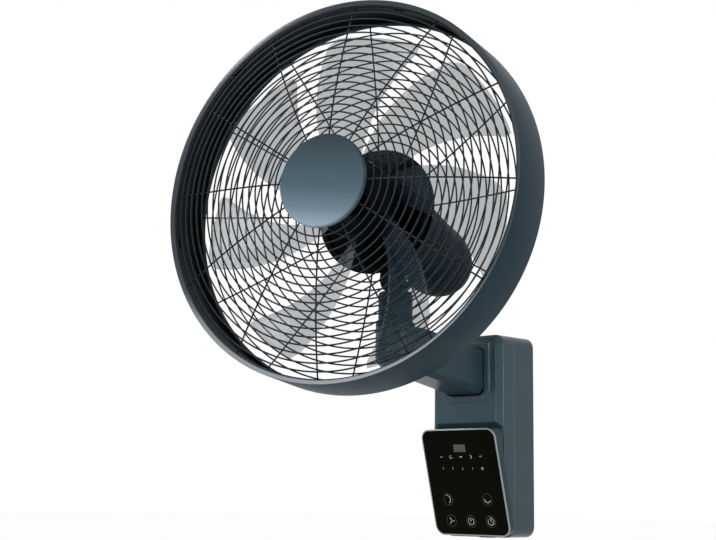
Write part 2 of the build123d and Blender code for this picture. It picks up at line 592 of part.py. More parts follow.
def arm_body():
    """Arm tub: chamfered underside, open top, screw flange inside the bracket, motor posts and lower boss."""
    beam = arm_block(0)
    tub = beam - (arm_block(ARM_WALL, ARM_H) & box(-FAR, FAR, -FAR, FRONT_Y - 2 * ARM_WALL, -FAR, FAR))
    tub += arm_stub(0)
    tub += box(-FLANGE_W / 2, FLANGE_W / 2, SPLIT_Y, SPLIT_Y + FLANGE_T, *FLANGE_Z)
    tub -= box(-ARM_W / 2 + 8, ARM_W / 2 - 8, FRONT_Y - 20, SPLIT_Y + FLANGE_T + 1,
               ARM_FOOT_Z + 12, ARM_FOOT_Z + ARM_H - 8)
    for x, z in FLANGE_SCREWS:
        tub -= Pos(x, 0, z) * to_wall(rod(SCREW_R + SCREW_FIT, 0, BRACKET_D))
    tub += Pos(0, -ARM_REACH, 0) * rod(SPINDLE_R + BUSH_WALL + 3, LOW_BOSS_Z, ARM_BOSS_TOP) & beam
    tub -= Pos(0, -ARM_REACH, 0) * rod(SPINDLE_R + BUSH_WALL, ARM_BOSS_TOP - BUSH_H, ARM_BOSS_TOP + 1)
    for x in (-MOTOR_EAR_X, MOTOR_EAR_X):
        tub += Pos(x, SWING_MOTOR_Y, 0) * rod(3.5, LOW_BOSS_Z, SWING_MOTOR_TOP - EAR_PLATE_T) & beam
        tub -= Pos(x, SWING_MOTOR_Y, 0) * rod(SCREW_R + SEAT_FIT, SWING_MOTOR_TOP - 12, SWING_MOTOR_TOP)
    return tub


def arm_lid():
    """Cover on top of the arm with the upper bush seat under the turning neck."""
    lid = arm_profile(0) & arm_plan(ARM_WALL + SEAT_FIT)
    lid -= Pos(0, 0, -LID_T) * arm_profile(0)
    lid &= box(-FAR, FAR, -FAR, FRONT_Y - 2 * ARM_WALL - SEAT_FIT, -FAR, FAR)
    lid += Pos(0, -ARM_REACH, 0) * rod(SPINDLE_R + BUSH_WALL + 3, TURRET_TOP - BUSH_H, TURRET_TOP - 1)
    lid -= Pos(0, -ARM_REACH, 0) * rod(SPINDLE_R + BUSH_WALL, TURRET_TOP - BUSH_H - 1, TURRET_TOP + 1)
    return lid


def bush(start, end):
    return tube(SPINDLE_R + BUSH_WALL - SEAT_FIT, SPINDLE_R + RUN_FIT, start, end)


def drive_motor(radius, length):
    """Small geared motor: can with two ears, and an output shaft beside its middle; face at Z = 0."""
    can = Pos(-DRIVE_OFFSET, 0, 0) * rod(radius, -length, 0)
    ears = Pos(-DRIVE_OFFSET, 0, 0) * rounded_slab(7, 2 * MOTOR_EAR_X + 7, 3.4, -EAR_PLATE_T, 0)
    for y in (-MOTOR_EAR_X, MOTOR_EAR_X):
        ears -= Pos(-DRIVE_OFFSET, y, 0) * rod(SCREW_R + SCREW_FIT, -5, 5)
    return can + ears + rod(DRIVE_SHAFT_R, -0.5, GEAR_T + 1.5)


def arm_and_swing_drive():
    axis = Pos(0, -ARM_REACH, 0)
    add("arm_body", arm_body())
    add("arm_lid", arm_lid())
    add("arm_screws", *[Pos(x, SPLIT_Y, z) * to_wall(screw(FLANGE_T + 8)) for x, z in FLANGE_SCREWS],
        *[Pos(x, SWING_MOTOR_Y, SWING_MOTOR_TOP) * screw(8) for x in (-MOTOR_EAR_X, MOTOR_EAR_X)])
    add("swing_bushes", axis * bush(ARM_BOSS_TOP - BUSH_H, ARM_BOSS_TOP),
        axis * bush(TURRET_TOP - BUSH_H, TURRET_TOP))
    motor = Rot(0, 0, -90) * drive_motor(SWING_MOTOR_R, SWING_MOTOR_T)
    add("swing_motor", Pos(0, SWING_PINION_Y, SWING_MOTOR_TOP) * motor)
    pinion = full_gear(PINION_TEETH) - rod(DRIVE_SHAFT_R + SEAT_FIT, -1, GEAR_T + 1)
    mesh = 270 - 180 / PINION_TEETH
    turn = REST_SWING * SWING_TEETH / PINION_TEETH
    add("swing_pinion", Pos(0, SWING_PINION_Y, SWING_GEAR_Z) * Rot(0, 0, mesh - turn) * pinion)


# ================================================================ Neck

def neck_column():
    """Round column on a turntable disc, with the tongue that carries the tilt axis."""
    base = rod(TURRET_R, NECK_FLOOR, NECK_FLOOR + NECK_BASE_T)
    base = fillet(base.edges().group_by(Axis.Z)[-1], 1.5)
    shoulder = PIVOT_Z - TONGUE_R - NECK_SHOULDER_GAP
    column = rod(NECK_R, NECK_FLOOR, shoulder)
    column = fillet(column.edges().group_by(Axis.Z)[-1], 4)
    tongue = box(-TONGUE_W / 2, TONGUE_W / 2, -TONGUE_R, TONGUE_R, shoulder - 10, PIVOT_Z)
    tongue += Pos(0, 0, PIVOT_Z) * Rot(0, 90, 0) * Cylinder(TONGUE_R, TONGUE_W)
    column = base + column + tongue
    column -= Pos(0, 0, PIVOT_Z) * Rot(0, 90, 0) * Cylinder(PIN_R + RUN_FIT, 60)
    column -= rod(SPINDLE_BORE, 0, PIVOT_Z - TONGUE_R - 8)
    return NECK * (column - sector_seat())


def sector_seat():
    """The slot in the tongue that holds the tilt sector."""
    slot = box(-GEAR_T / 2 - SEAT_FIT, GEAR_T / 2 + SEAT_FIT, -40, 40, PIVOT_Z - 60, PIVOT_Z + 60)
    return slot & (Pos(0, 0, PIVOT_Z) * Rot(0, 90, 0) * Cylinder(SECTOR_HUB_R + SEAT_FIT, 60)
                   + box(-40, 40, -40, 40, PIVOT_Z, PIVOT_Z + 60))


def spindle():
    """Hollow spindle under the neck: turns in the arm's bushes and carries the swing sector."""
    body = tube(SPINDLE_R, SPINDLE_BORE, ARM_BOSS_TOP - BUSH_H + 1, NECK_FLOOR)
    clip_top = TURRET_TOP - BUSH_H - CLIP_FIT
    body -= tube(SPINDLE_R + 1, SPINDLE_R - 1, clip_top - CLIP_T - CLIP_FIT / 2, clip_top + CLIP_FIT / 2)
    clip = tube(SPINDLE_R + 3, SPINDLE_R - 1 + SEAT_FIT, clip_top - CLIP_T, clip_top)
    return NECK * body, NECK * clip


def neck_group():
    add("neck_column", neck_column())
    body, clip = spindle()
    add("neck_spindle", body)
    add("spindle_clip", clip)
    washer = tube(TURRET_R - 4, SPINDLE_R + RUN_FIT + SEAT_FIT, TURRET_TOP, NECK_FLOOR)
    add("thrust_washer", Pos(0, -ARM_REACH, 0) * washer)
    swing_sector = sector_gear(SWING_TEETH, SWING_LIMIT, SPINDLE_R + 4)
    swing_sector -= rod(SPINDLE_R + SEAT_FIT, -1, GEAR_T + 1)
    add("swing_sector", NECK * Pos(0, 0, SWING_GEAR_Z) * Rot(0, 0, 90) * swing_sector)
    tilt_sector = sector_gear(TILT_TEETH, TILT_LIMIT, SECTOR_HUB_R)
    tilt_sector -= rod(PIN_R + RUN_FIT, -1, GEAR_T + 1)
    add("tilt_sector", NECK * Pos(-GEAR_T / 2, 0, PIVOT_Z) * Rot(0, 90, 0) * Rot(0, 0, 180) * tilt_sector)


# ================================================================ Fan head

def shroud():
    """Slim hoop round the impeller: lip that slopes inward, tapering wall and rear flange, open both ways."""
    outline = [
        (SHROUD_R - LIP_W, -LIP_FALL), (SHROUD_R - LIP_EDGE, 0), (SHROUD_R, -LIP_EDGE),
        (SHROUD_BACK_R, -SHROUD_DEPTH), (SHROUD_BACK_R - REAR_FLANGE_W, -SHROUD_DEPTH),
        (SHROUD_BACK_R - REAR_FLANGE_W, -SHROUD_DEPTH + SHROUD_WALL),
        (SHROUD_BACK_R - SHROUD_WALL, -SHROUD_DEPTH + SHROUD_WALL),
        (SHROUD_R - SHROUD_WALL, WALL_TOP), (SHROUD_R - LIP_W, WALL_TOP)]
    return AXIAL * turned(outline)


def polygon_ring(radius, z, sides, wire):
    """One guard ring of square wire with flat runs between its corners."""
    outer = RegularPolygon(radius + wire / 2, sides, major_radius=True)
    inner = RegularPolygon(radius - wire / 2, sides, major_radius=True)
    return Pos(0, 0, z - wire / 2) * extrude(outer - inner, wire)


def front_dome(radius):
    """Height of the front guard's spokes ahead of the lip plane."""
    reach = max(0, radius - BADGE_R) / (RIM_R - BADGE_R)
    return FRONT_CENTRE - (FRONT_CENTRE - FRONT_RIM_Z) * reach ** 1.8


def rear_dish(radius):
    """Height of the rear spokes: deepest at the motor plate, level with the hoop's back at the rim."""
    reach = max(0, radius - MOTOR_PLATE_R) / (REAR_RIM_R - MOTOR_PLATE_R)
    return REAR_CENTRE + (REAR_RIM_Z - REAR_CENTRE) * reach ** 1.3


def spoke(start_r, end_r, height, steps, wire):
    """A guard spoke of square wire that follows the guard's shape, along local +X."""
    radii = [start_r - SPOKE_FOOT] + [start_r + (end_r - start_r) * i / steps for i in range(steps + 1)]
    over = [(r, 0, height(r) + wire / 2) for r in radii]
    under = [(r, 0, height(r) - wire / 2) for r in reversed(radii)]
    side = make_face(Polyline(*over, *under, close=True))
    return extrude(side, wire / 2, dir=(0, 1, 0), both=True)


def guard(prefix, rings, start_r, rim_r, rim_z, height, side, turn):
    """Rings lying on spokes that run from the middle to a stout rim."""
    spacing = (rim_r - start_r) / (rings + 1)
    hoops = []
    for k in range(1, rings + 1):
        radius = start_r + spacing * k
        sides = 24 if radius < 140 else 36
        slope = abs(height(radius + WIRE / 2) - height(radius - WIRE / 2))
        offset = side * (WIRE + slope / 2 + WELD_GAP)
        hoops.append(AXIAL * Rot(0, 0, turn) * polygon_ring(radius, height(radius) + offset, sides, WIRE))
    add(prefix + "_rings", *hoops)
    length = rim_r - RIM_WIRE / 2 - 2 * WELD_GAP
    spokes = [AXIAL * Rot(0, 0, turn + 360 * k / SPOKES) * spoke(start_r, length, height, 7, WIRE)
              for k in range(SPOKES)]
    add(prefix + "_spokes", *spokes)
    add(prefix + "_rim", AXIAL * Rot(0, 0, turn) * polygon_ring(rim_r, rim_z, 36, RIM_WIRE))


def guard_lock_ring():
    """Ribbed ring that clamps the rear guard's spokes to the motor plate."""
    front = REAR_CENTRE + WIRE / 2
    ring = tube(MOTOR_PLATE_R - 2, MOTOR_PLATE_R - 2 - SPOKE_FOOT, front, front + 3)
    return ring


def guard_clip():
    """Small block behind the rim, held to the shroud wall, that keeps the front guard in the lip."""
    back = FRONT_RIM_Z - RIM_WIRE / 2 - WELD_GAP
    wall = sqrt(wall_inside(back - 2, back) ** 2 - CLIP_HALF ** 2)
    return box(RIM_R - 3, wall - SEAT_FIT, -CLIP_HALF, CLIP_HALF, back - 2, back)


def badge():
    """Round centre cap of the front guard, with a blank face."""
    cap = rod(BADGE_R, BADGE_AHEAD - BADGE_T, BADGE_AHEAD)
    cap = chamfer(cap.edges().group_by(Axis.Z)[-1], 1.2)
    return AXIAL * (cap - rod(BADGE_R - 2.5, BADGE_AHEAD - BADGE_T - 1, BADGE_AHEAD - 2.5))


def motor_can():
    """Motor housing tube with the two ears that hang on the tilt axis and a slot over the tongue."""
    place = Pos(0, -CAN_DROP, 0)
    can = AXIAL * place * tube(CAN_R, CAN_R - CAN_WALL, CAN_FRONT - CAN_LENGTH, CAN_FRONT)
    bottom = CAN_CENTRE - CAN_R
    ear_x = TONGUE_W / 2 + EAR_FIT
    for side in (-1, 1):
        x0, x1 = sorted((side * ear_x, side * (ear_x + EAR_T)))
        ear = box(x0, x1, -TONGUE_R, TONGUE_R, 0, bottom + 6)
        ear += Pos((x0 + x1) / 2, 0, 0) * Rot(0, 90, 0) * Cylinder(TONGUE_R, EAR_T)
        ear -= Pos(0, 0, CAN_CENTRE) * Rot(90, 0, 0) * Cylinder(CAN_R - CAN_WALL, 200)
        can += HEAD * ear
    can -= HEAD * box(-ear_x, ear_x, -26, 26, 0, bottom + 12)
    can -= HEAD * Rot(0, 90, 0) * Cylinder(PIN_R + SEAT_FIT, 60)
    return can


def cover_form(inset):
    """The rear cover's form, drawn in by inset: round sections whose middle sinks towards the back."""
    length = COVER_SECTIONS[-1][0]
    start = CAN_FRONT - CAN_LENGTH
    rounds = [Pos(0, -drop, start - way * (length - inset) / length) * Circle(radius - inset)
              for way, radius, drop in COVER_SECTIONS]
    return loft(rounds)


def rear_cover():
    """Rounded, sinking rear end of the motor housing with a ring of cooling slots in its end."""
    way, _, drop = COVER_SECTIONS[-1]
    end = Pos(0, -drop, CAN_FRONT - CAN_LENGTH - way)
    shell = cover_form(0) - cover_form(CAN_WALL)
    for i in range(VENTS):
        shell -= end * Rot(0, 0, 360 * i / VENTS) * box(*VENT_R, -VENT_W / 2, VENT_W / 2, -5, 15)
    return AXIAL * shell


def motor():
    """Motor plate, housing, stator, windings, end bell, bearings and driver board of the fan motor."""
    plate = rod(MOTOR_PLATE_R, CAN_FRONT, -MOTOR_PLATE_AT)
    plate += rod(BEARING_R + 3, -MOTOR_PLATE_AT - BEARING_T - 1, -MOTOR_PLATE_AT)
    plate -= rod(BEARING_R + SEAT_FIT, -FAR, BEARING_PLACES[0])
    plate -= rod(BEARING_R - 3, -FAR, FAR)
    add("motor_plate", AXIAL * plate)
    add("motor_can", motor_can())
    add("rear_cover", rear_cover())
    add("stator_core", AXIAL * stator_core())
    coil = box(STATOR_BORE + 4, STATOR_R - STATOR_RIM - 1, -7.5, 7.5, 0, 5)
    add("stator_windings", *[AXIAL * Rot(0, 0, 60 * i) * Pos(0, 0, z) * coil for i in range(6)
                             for z in (-STATOR_AT + 0.2, -STATOR_AT - STATOR_T - 5.2)])
    add("stator_screws", *[AXIAL * Rot(0, 0, angle) * Pos(PILLARS, 0, END_BELL_BACK) * Rot(180, 0, 0)
                           * screw(END_BELL_T + 8) for angle in PILLAR_ANGLES])
    bell = Pos(0, -CAN_DROP, 0) * rod(CAN_R - CAN_WALL - SEAT_FIT, END_BELL_BACK, -END_BELL_AT)
    bell += rod(BEARING_R + 3, END_BELL_BACK, -END_BELL_AT + 5)
    bell -= rod(BEARING_R + SEAT_FIT, END_BELL_BACK + BEARING_LIP, FAR)
    bell -= rod(SHAFT_R + 2, -FAR, FAR)
    for angle in PILLAR_ANGLES:
        bell += Rot(0, 0, angle) * Pos(PILLARS, 0, 0) * rod(PILLAR_R, -END_BELL_AT - 1, -STATOR_AT)
        bell -= Rot(0, 0, angle) * Pos(PILLARS, 0, 0) * rod(SCREW_R + SEAT_FIT, -FAR, -STATOR_AT - 4)
    add("end_bell", AXIAL * bell)
    add("bearings", *[AXIAL * tube(BEARING_R, SHAFT_R + RUN_FIT, z - BEARING_T, z) for z in BEARING_PLACES])
    board_back = END_BELL_BACK - BOARD_STANDOFF
    place = AXIAL * Pos(0, -DRIVER_DROP, 0)
    add("driver_board", place * rounded_slab(DRIVER_W, DRIVER_H, 6, board_back - BOARD_T, board_back),
        *[place * Pos(x, y, 0) * rod(STANDOFF_R, board_back, END_BELL_BACK)
          for x in (-DRIVER_FEET[0], DRIVER_FEET[0]) for y in (-DRIVER_FEET[1], DRIVER_FEET[1])])


def stator_core():
    """Laminated stator ring with six inward poles."""
    low = -STATOR_AT - STATOR_T
    core = tube(STATOR_R, STATOR_R - STATOR_RIM, low, -STATOR_AT)
    shoe = tube(STATOR_BORE + 3, STATOR_BORE, low, -STATOR_AT) & box(0, STATOR_R, -8, 8, -FAR, FAR)
    pole = shoe + box(STATOR_BORE + 1, STATOR_R - STATOR_RIM + 1, -4, 4, low, -STATOR_AT)
    for i in range(6):
        core += Rot(0, 0, 60 * i) * pole
    return core


def tilt_drive():
    """Tilt pin, and the geared motor that walks the head round the neck's sector."""
    pin_end = TONGUE_W / 2 + EAR_FIT + EAR_T
    pin = rod(PIN_R, -pin_end - 1, pin_end) + rod(PIN_R + 2.5, -pin_end - 2.5, -pin_end)
    add("tilt_pin", HEAD * Rot(0, 90, 0) * pin)
    motor_at = HEAD * Pos(GEAR_T / 2 + 1, 0, TILT_DRIVE)
    add("tilt_motor", motor_at * Rot(0, -90, 0) * tilt_motor_shape())
    pinion = full_gear(PINION_TEETH) - rod(DRIVE_SHAFT_R + SEAT_FIT, -1, GEAR_T + 1)
    turn = REST_TILT * TILT_TEETH / PINION_TEETH
    mesh = 180 / PINION_TEETH
    seat = HEAD * Pos(-GEAR_T / 2, 0, TILT_DRIVE) * Rot(0, 90, 0)
    add("tilt_pinion", seat * Rot(0, 0, mesh - turn) * pinion)


def tilt_motor_shape():
    can = Pos(DRIVE_OFFSET, 0, 0) * rod(TILT_MOTOR_R, -TILT_MOTOR_T, 0)
    return can + rod(DRIVE_SHAFT_R, -0.5, GEAR_T + 1.5)


def head_group():
    add("shroud", shroud())
    guard("front_guard", FRONT_RINGS, BADGE_R, RIM_R, FRONT_RIM_Z, front_dome, 1, SPOKE_TURN)
    guard("rear_guard", REAR_RINGS, MOTOR_PLATE_R, REAR_RIM_R, REAR_RIM_Z, rear_dish, -1, 0)
    add("guard_lock_ring", AXIAL * guard_lock_ring())
    add("guard_clips", *[AXIAL * Rot(0, 0, SPOKE_TURN + 15 + 360 * k / CLIPS) * guard_clip()
                         for k in range(CLIPS)])
    add("badge", badge())
    motor()
    tilt_drive()


# ================================================================ Impeller and shaft

def blade():
    """One swept blade about local +X: arched sections square to the radius, trimmed round at the tip."""
    half_arc = radians(BLADE_ARC / 2)
    sections = []
    for share in (0, 0.25, 0.5, 0.75, 1):
        radius = HUB_R - 3 + (BLADE_TIP_R + 4 - HUB_R) * share
        front = BLADE_ROOT_FRONT + (BLADE_TIP_FRONT - BLADE_ROOT_FRONT) * sin(share * pi / 2)
        back = BLADE_ROOT_BACK + (BLADE_TIP_BACK - BLADE_ROOT_BACK) * share ** 2
        width = 2 * radius * tan(half_arc)
        lag = BLADE_SWEEP * (radius / cos(half_arc) - HUB_R)
        sections.append(blade_section(radius, width, front, back, radians(-lag)))
    return loft(sections) & rod(BLADE_TIP_R, -FAR, 0)


def blade_section(radius, width, front, back, turn):
    """A thin arched section from the back edge to the front edge, in the plane square to the radius."""
    chord = sqrt(width ** 2 + (back - front) ** 2)
    pitch = atan((back - front) / width)
    rise = -BLADE_CAMBER * chord
    ends = [(side * chord / 2, edge * BLADE_T / 2) for edge in (1, -1) for side in (-1, 1)]
    over = ThreePointArc(ends[0], (0, rise + BLADE_T / 2), ends[1])
    under = ThreePointArc(ends[3], (0, rise - BLADE_T / 2), ends[2])
    outline = make_face([over, Line(ends[1], ends[3]), under, Line(ends[2], ends[0])])
    place = Plane(origin=(radius * cos(turn), radius * sin(turn), -(front + back) / 2),
                  x_dir=(-sin(turn) * cos(pitch), cos(turn) * cos(pitch), sin(pitch)),
                  z_dir=(cos(turn), sin(turn), 0))
    return place * outline


def impeller():
    """Seven blades on a domed hub cup with a steel-bushed boss."""
    hub = rod(HUB_R, -HUB_AT - HUB_DEPTH, -HUB_AT)
    hub = fillet(hub.edges().group_by(Axis.Z)[-1], HUB_ROUND)
    hub -= rod(HUB_R - HUB_WALL, -HUB_AT - HUB_DEPTH - 1, -HUB_AT - HUB_WALL)
    hub += rod(BOSS_R, -HUB_AT - HUB_DEPTH, -HUB_AT)
    rib = box(BOSS_R - 1, HUB_R - 1, -1, 1, -HUB_AT - 12, -HUB_AT - 1)
    vane = blade() - rod(HUB_R - 1, -FAR, FAR)
    for i in range(BLADES):
        hub += Rot(0, 0, 360 * i / BLADES) * rib
        hub += Rot(0, 0, 360 * i / BLADES) * vane
    return hub - rod(SHAFT_R + SEAT_FIT, -FAR, FAR)


def rotor_group():
    place = AXIAL * Rot(0, 0, BLADE_PHASE)
    add("impeller", place * impeller())
    shaft_end = -END_BELL_AT - 1.5
    add("motor_shaft", AXIAL * rod(SHAFT_R, shaft_end, -SHAFT_FRONT_AT))
    magnet = tube(STATOR_BORE - ROTOR_GAP, SHAFT_R + SEAT_FIT, -STATOR_AT - STATOR_T, -STATOR_AT)
    add("magnet_rotor", AXIAL * magnet)
    nut = rod(NUT_R, -HUB_AT, -HUB_AT + NUT_T)
    nut = fillet(nut.edges().group_by(Axis.Z)[-1], 3)
    add("impeller_nut", AXIAL * (nut - rod(SHAFT_R + SEAT_FIT, -HUB_AT - 1, -SHAFT_FRONT_AT + 0.5)))


wall_bracket()
arm_and_swing_drive()
neck_group()
head_group()
rotor_group()

os.makedirs("parts", exist_ok=True)
for name, shape in nodes.items():
    export_step(shape, f"parts/{name}.step")
print(len(nodes), "nodes")
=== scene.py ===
from math import atan, cos, pi, radians, sin, sqrt, tan

import bmesh
import bpy
from mathutils import Matrix, Vector

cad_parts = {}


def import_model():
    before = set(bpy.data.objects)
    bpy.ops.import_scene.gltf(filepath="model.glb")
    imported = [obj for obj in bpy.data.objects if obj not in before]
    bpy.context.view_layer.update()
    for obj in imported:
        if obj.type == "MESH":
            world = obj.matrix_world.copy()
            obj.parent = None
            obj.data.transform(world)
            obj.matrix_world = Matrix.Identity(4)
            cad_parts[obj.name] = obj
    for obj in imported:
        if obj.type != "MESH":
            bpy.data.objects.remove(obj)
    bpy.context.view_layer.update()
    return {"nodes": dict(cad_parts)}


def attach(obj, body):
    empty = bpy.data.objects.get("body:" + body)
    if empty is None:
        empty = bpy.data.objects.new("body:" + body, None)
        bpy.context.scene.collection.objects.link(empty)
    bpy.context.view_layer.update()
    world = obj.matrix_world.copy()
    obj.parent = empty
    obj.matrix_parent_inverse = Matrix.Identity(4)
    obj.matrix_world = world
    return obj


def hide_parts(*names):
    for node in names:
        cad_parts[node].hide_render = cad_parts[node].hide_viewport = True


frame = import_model()

# ---- Sizes taken over from the model, in millimetres and degrees
ARM_REACH = 202.0            # wall to swing axis
FRONT_Y = -68.6              # the bracket's front face
PIVOT_Z = 185.3              # height of the tilt axis
REST_SWING = 15.4            # the head's turn at rest, towards +X
REST_TILT = 4.9              # the head's tilt at rest, nose up
LIP_AHEAD = 164.0            # tilt axis to the front lip
AXIS_RISE = 70.0             # tilt axis to the fan axis
SHROUD_R = 227.5
SHROUD_FLARE = 1.9           # how much larger the hoop is at its back
SHROUD_DEPTH = 68.0
SHROUD_WALL = 2.5
LIP_W = 5.5                  # the lip's face slopes inward and back from its outer edge
LIP_FALL = 2.6
LIP_T = 1.9
REAR_FLANGE_W = 7.0
BADGE_R = 54.7
BADGE_AHEAD = 29.3
BADGE_T = 6.0
WIRE = 2.0                   # guard wires
RIM_WIRE = 4.0
RIM_GAP = 0.8                # front rim wire to the hoop's wall
RIM_DROP = 0.1               # front rim wire to the underside of the lip
SPOKE_FOOT = 6.0             # end of a spoke under the badge or the motor plate's ring
FRONT_RINGS = 17
REAR_RINGS = 13
SPOKES = 12
SPOKE_TURN = -2.5            # turn of the front spokes from the upright
FRONT_BULGE = 1.8            # exponents of the guards' curves over the radius
REAR_BULGE = 1.3
MOTOR_PLATE_R = 77.0
MOTOR_PLATE_AT = 103.0
BLADES = 7
TIP_GAP = 27.5               # blade tip to the hoop's outer edge
BLADE_T = 2.2
BLADE_ARC = 31.0             # how wide a blade is seen from the front
BLADE_SWEEP = 0.191          # lag of a blade's middle outward, degrees per millimetre
BLADE_CAMBER = 0.05          # rise of the arched section over its chord
BLADE_ROOT_FRONT = 42.0      # front and back edge behind the lip, at the hub and at the tip
BLADE_ROOT_BACK = 70.5
BLADE_TIP_FRONT = 29.0
BLADE_TIP_BACK = 65.0
BLADE_PHASE = 10.4           # angle of one blade's root at rest
ROOT_BITE = 3.0              # how far a blade's root reaches into the hub
TIP_PAST = 1.0               # how far past its tip a blade's edges are drawn
HUB_R = 46.0
HUB_AT = 40.0
HUB_DEPTH = 32.0
HUB_WALL = 2.5
HUB_ROUND = 6.0
PANEL_H = 138.0
PANEL_TILT = 14.6            # lean of the glass: its top stands further out
PANEL_Z = -59.0              # centre height of the glass, in the plane of the bracket's front face
KEY_X = 32.0                 # touch places
KEYS_UP = (47.0, 19.0)       # heights of the two rows of touch places over the panel's lower edge
LAMP_STEP = 16.0             # symbols and speed numbers stand in two rows of five
LAMPS_DOWN = (36.0, 51.0)    # the two rows below the panel's upper edge
DISPLAY_DOWN = 25.0

# ---- Sizes that only this scene has, in millimetres
REAR_RIM_GAP = 1.0           # rear rim wire to the hoop's wall, measured at its back
WELD_DEPTH = 0.95            # middle of a ring to middle of a spoke, over the wire's thickness
SLOPE_LIFT = 0.25            # and further by this share of the guard's rise under the ring
LIP_EDGE_W = 0.2             # small bevel along the lip's outer edge
LIP_EDGE_H = 0.6
LIP_ROUND = 0.7
EDGE_ROUND = 0.3
BACK_ROUND = 1.2
TIP_CORNER = 0.82            # share of a blade's half width at which the tip's corner starts
TIP_CORNER_R = 9.0           # how far the corner falls back
TIP_ONSET = 8                # exponent: the corner is cut back near the tip only
THIN_EDGE = 0.15             # a blade's thickness at its edges, over that in its middle
EDGE_ONSET = 6               # exponent: the blade thins near its edges only
HUB_FLOOR = 3.0
HUB_HOLE_R = 9.0             # hole in the hub's face, filled by the boss
BOSS_R = 9.5
SHAFT_HOLE_R = 4.1
PRINT_Z = 0.06               # thickness of the print on the glass
KEY_RING_R = 7.6
KEY_LINE = 0.35
DISPLAY_W = 19.0
DISPLAY_H = 9.6

# ---- How finely the round forms are divided
HOOP_STEPS = 256
RING_STEPS = 144
RIM_STEPS = 180
RIM_SIDES = 12
WIRE_SIDES = 8
SPOKE_STEPS = 26
BLADE_ACROSS = 16
BLADE_ALONG = 24
HUB_STEPS = 96
BOSS_STEPS = 48
CORNER_STEPS = 5
KEY_STEPS = 40

# ---- Worked out
SHROUD_BACK_R = SHROUD_R + SHROUD_FLARE
WALL_TOP = -LIP_FALL - LIP_T
FRONT_CENTRE = BADGE_AHEAD - BADGE_T - WIRE / 2
FRONT_RIM_Z = WALL_TOP - RIM_DROP - RIM_WIRE / 2
REAR_CENTRE = -MOTOR_PLATE_AT + WIRE / 2
REAR_RIM_Z = -SHROUD_DEPTH + SHROUD_WALL + RIM_WIRE / 2
RIM_R = SHROUD_R - SHROUD_WALL - RIM_WIRE / 2 - RIM_GAP
REAR_RIM_R = SHROUD_BACK_R - SHROUD_WALL - RIM_WIRE / 2 - REAR_RIM_GAP
BLADE_TIP_R = SHROUD_R - TIP_GAP
KEYS_HIGH, KEYS_LOW = (up - PANEL_H / 2 for up in KEYS_UP)
SYMBOL_ROW, NUMBER_ROW = (PANEL_H / 2 - down for down in LAMPS_DOWN)
DISPLAY_AT = PANEL_H / 2 - DISPLAY_DOWN


def turn(angle, axis):
    """Rotation about an axis, in degrees."""
    return Matrix.Rotation(radians(angle), 4, axis)


def shift(x, y, z):
    return Matrix.Translation((x, y, z))


# Local frames in millimetres, brought to metres: the fan axis (+Z forward) and the panel's face.
TO_METRES = Matrix.Scale(0.001, 4)
NECK = TO_METRES @ shift(0, -ARM_REACH, 0) @ turn(REST_SWING, "Z")
HEAD = NECK @ shift(0, 0, PIVOT_Z) @ turn(-REST_TILT, "X")
AXIAL = HEAD @ shift(0, -LIP_AHEAD, AXIS_RISE) @ turn(90, "X")
PANEL = TO_METRES @ shift(0, FRONT_Y, PANEL_Z) @ turn(90 + PANEL_TILT, "X")


# ================================================================ Shader helpers

def srgb(r, g, b):
    """Linear colour of an 8-bit display colour."""
    def linear(v):
        v /= 255
        return v / 12.92 if v <= 0.04045 else ((v + 0.055) / 1.055) ** 2.4
    return (linear(r), linear(g), linear(b), 1.0)


def add_node(tree, kind, inputs):
    """New shader node whose inputs, by name or number, are set to values or linked to outputs."""
    node = tree.nodes.new("ShaderNode" + kind)
    for socket, value in inputs.items():
        if isinstance(value, bpy.types.NodeSocket):
            tree.links.new(value, node.inputs[socket])
        else:
            node.inputs[socket].default_value = value
    return node


def calculated(tree, operation, first, second):
    """Output of a Math node."""
    node = add_node(tree, "Math", {0: first, 1: second})
    node.operation = operation
    return node.outputs["Value"]


def ramp(tree, along, stops):
    """Colours blended between stops of (position, 8-bit colour)."""
    node = add_node(tree, "ValToRGB", {"Fac": along})
    elements = node.color_ramp.elements
    for element, (position, shade) in zip(elements, (stops[0], stops[-1])):
        element.position = position
        element.color = srgb(*shade)
    for position, shade in stops[1:-1]:
        elements.new(position).color = srgb(*shade)
    return node.outputs["Color"]


# ================================================================ Materials

GRAIN_DEPTH = 0.0002         # metres
BEVEL_SAMPLES = 8
DRIFT_SPAN = (0.3, 0.7)      # stretch of the noise over which a colour goes from dark to light
BADGE_LEAN = 0.15            # how far the badge's shading leans from the upright


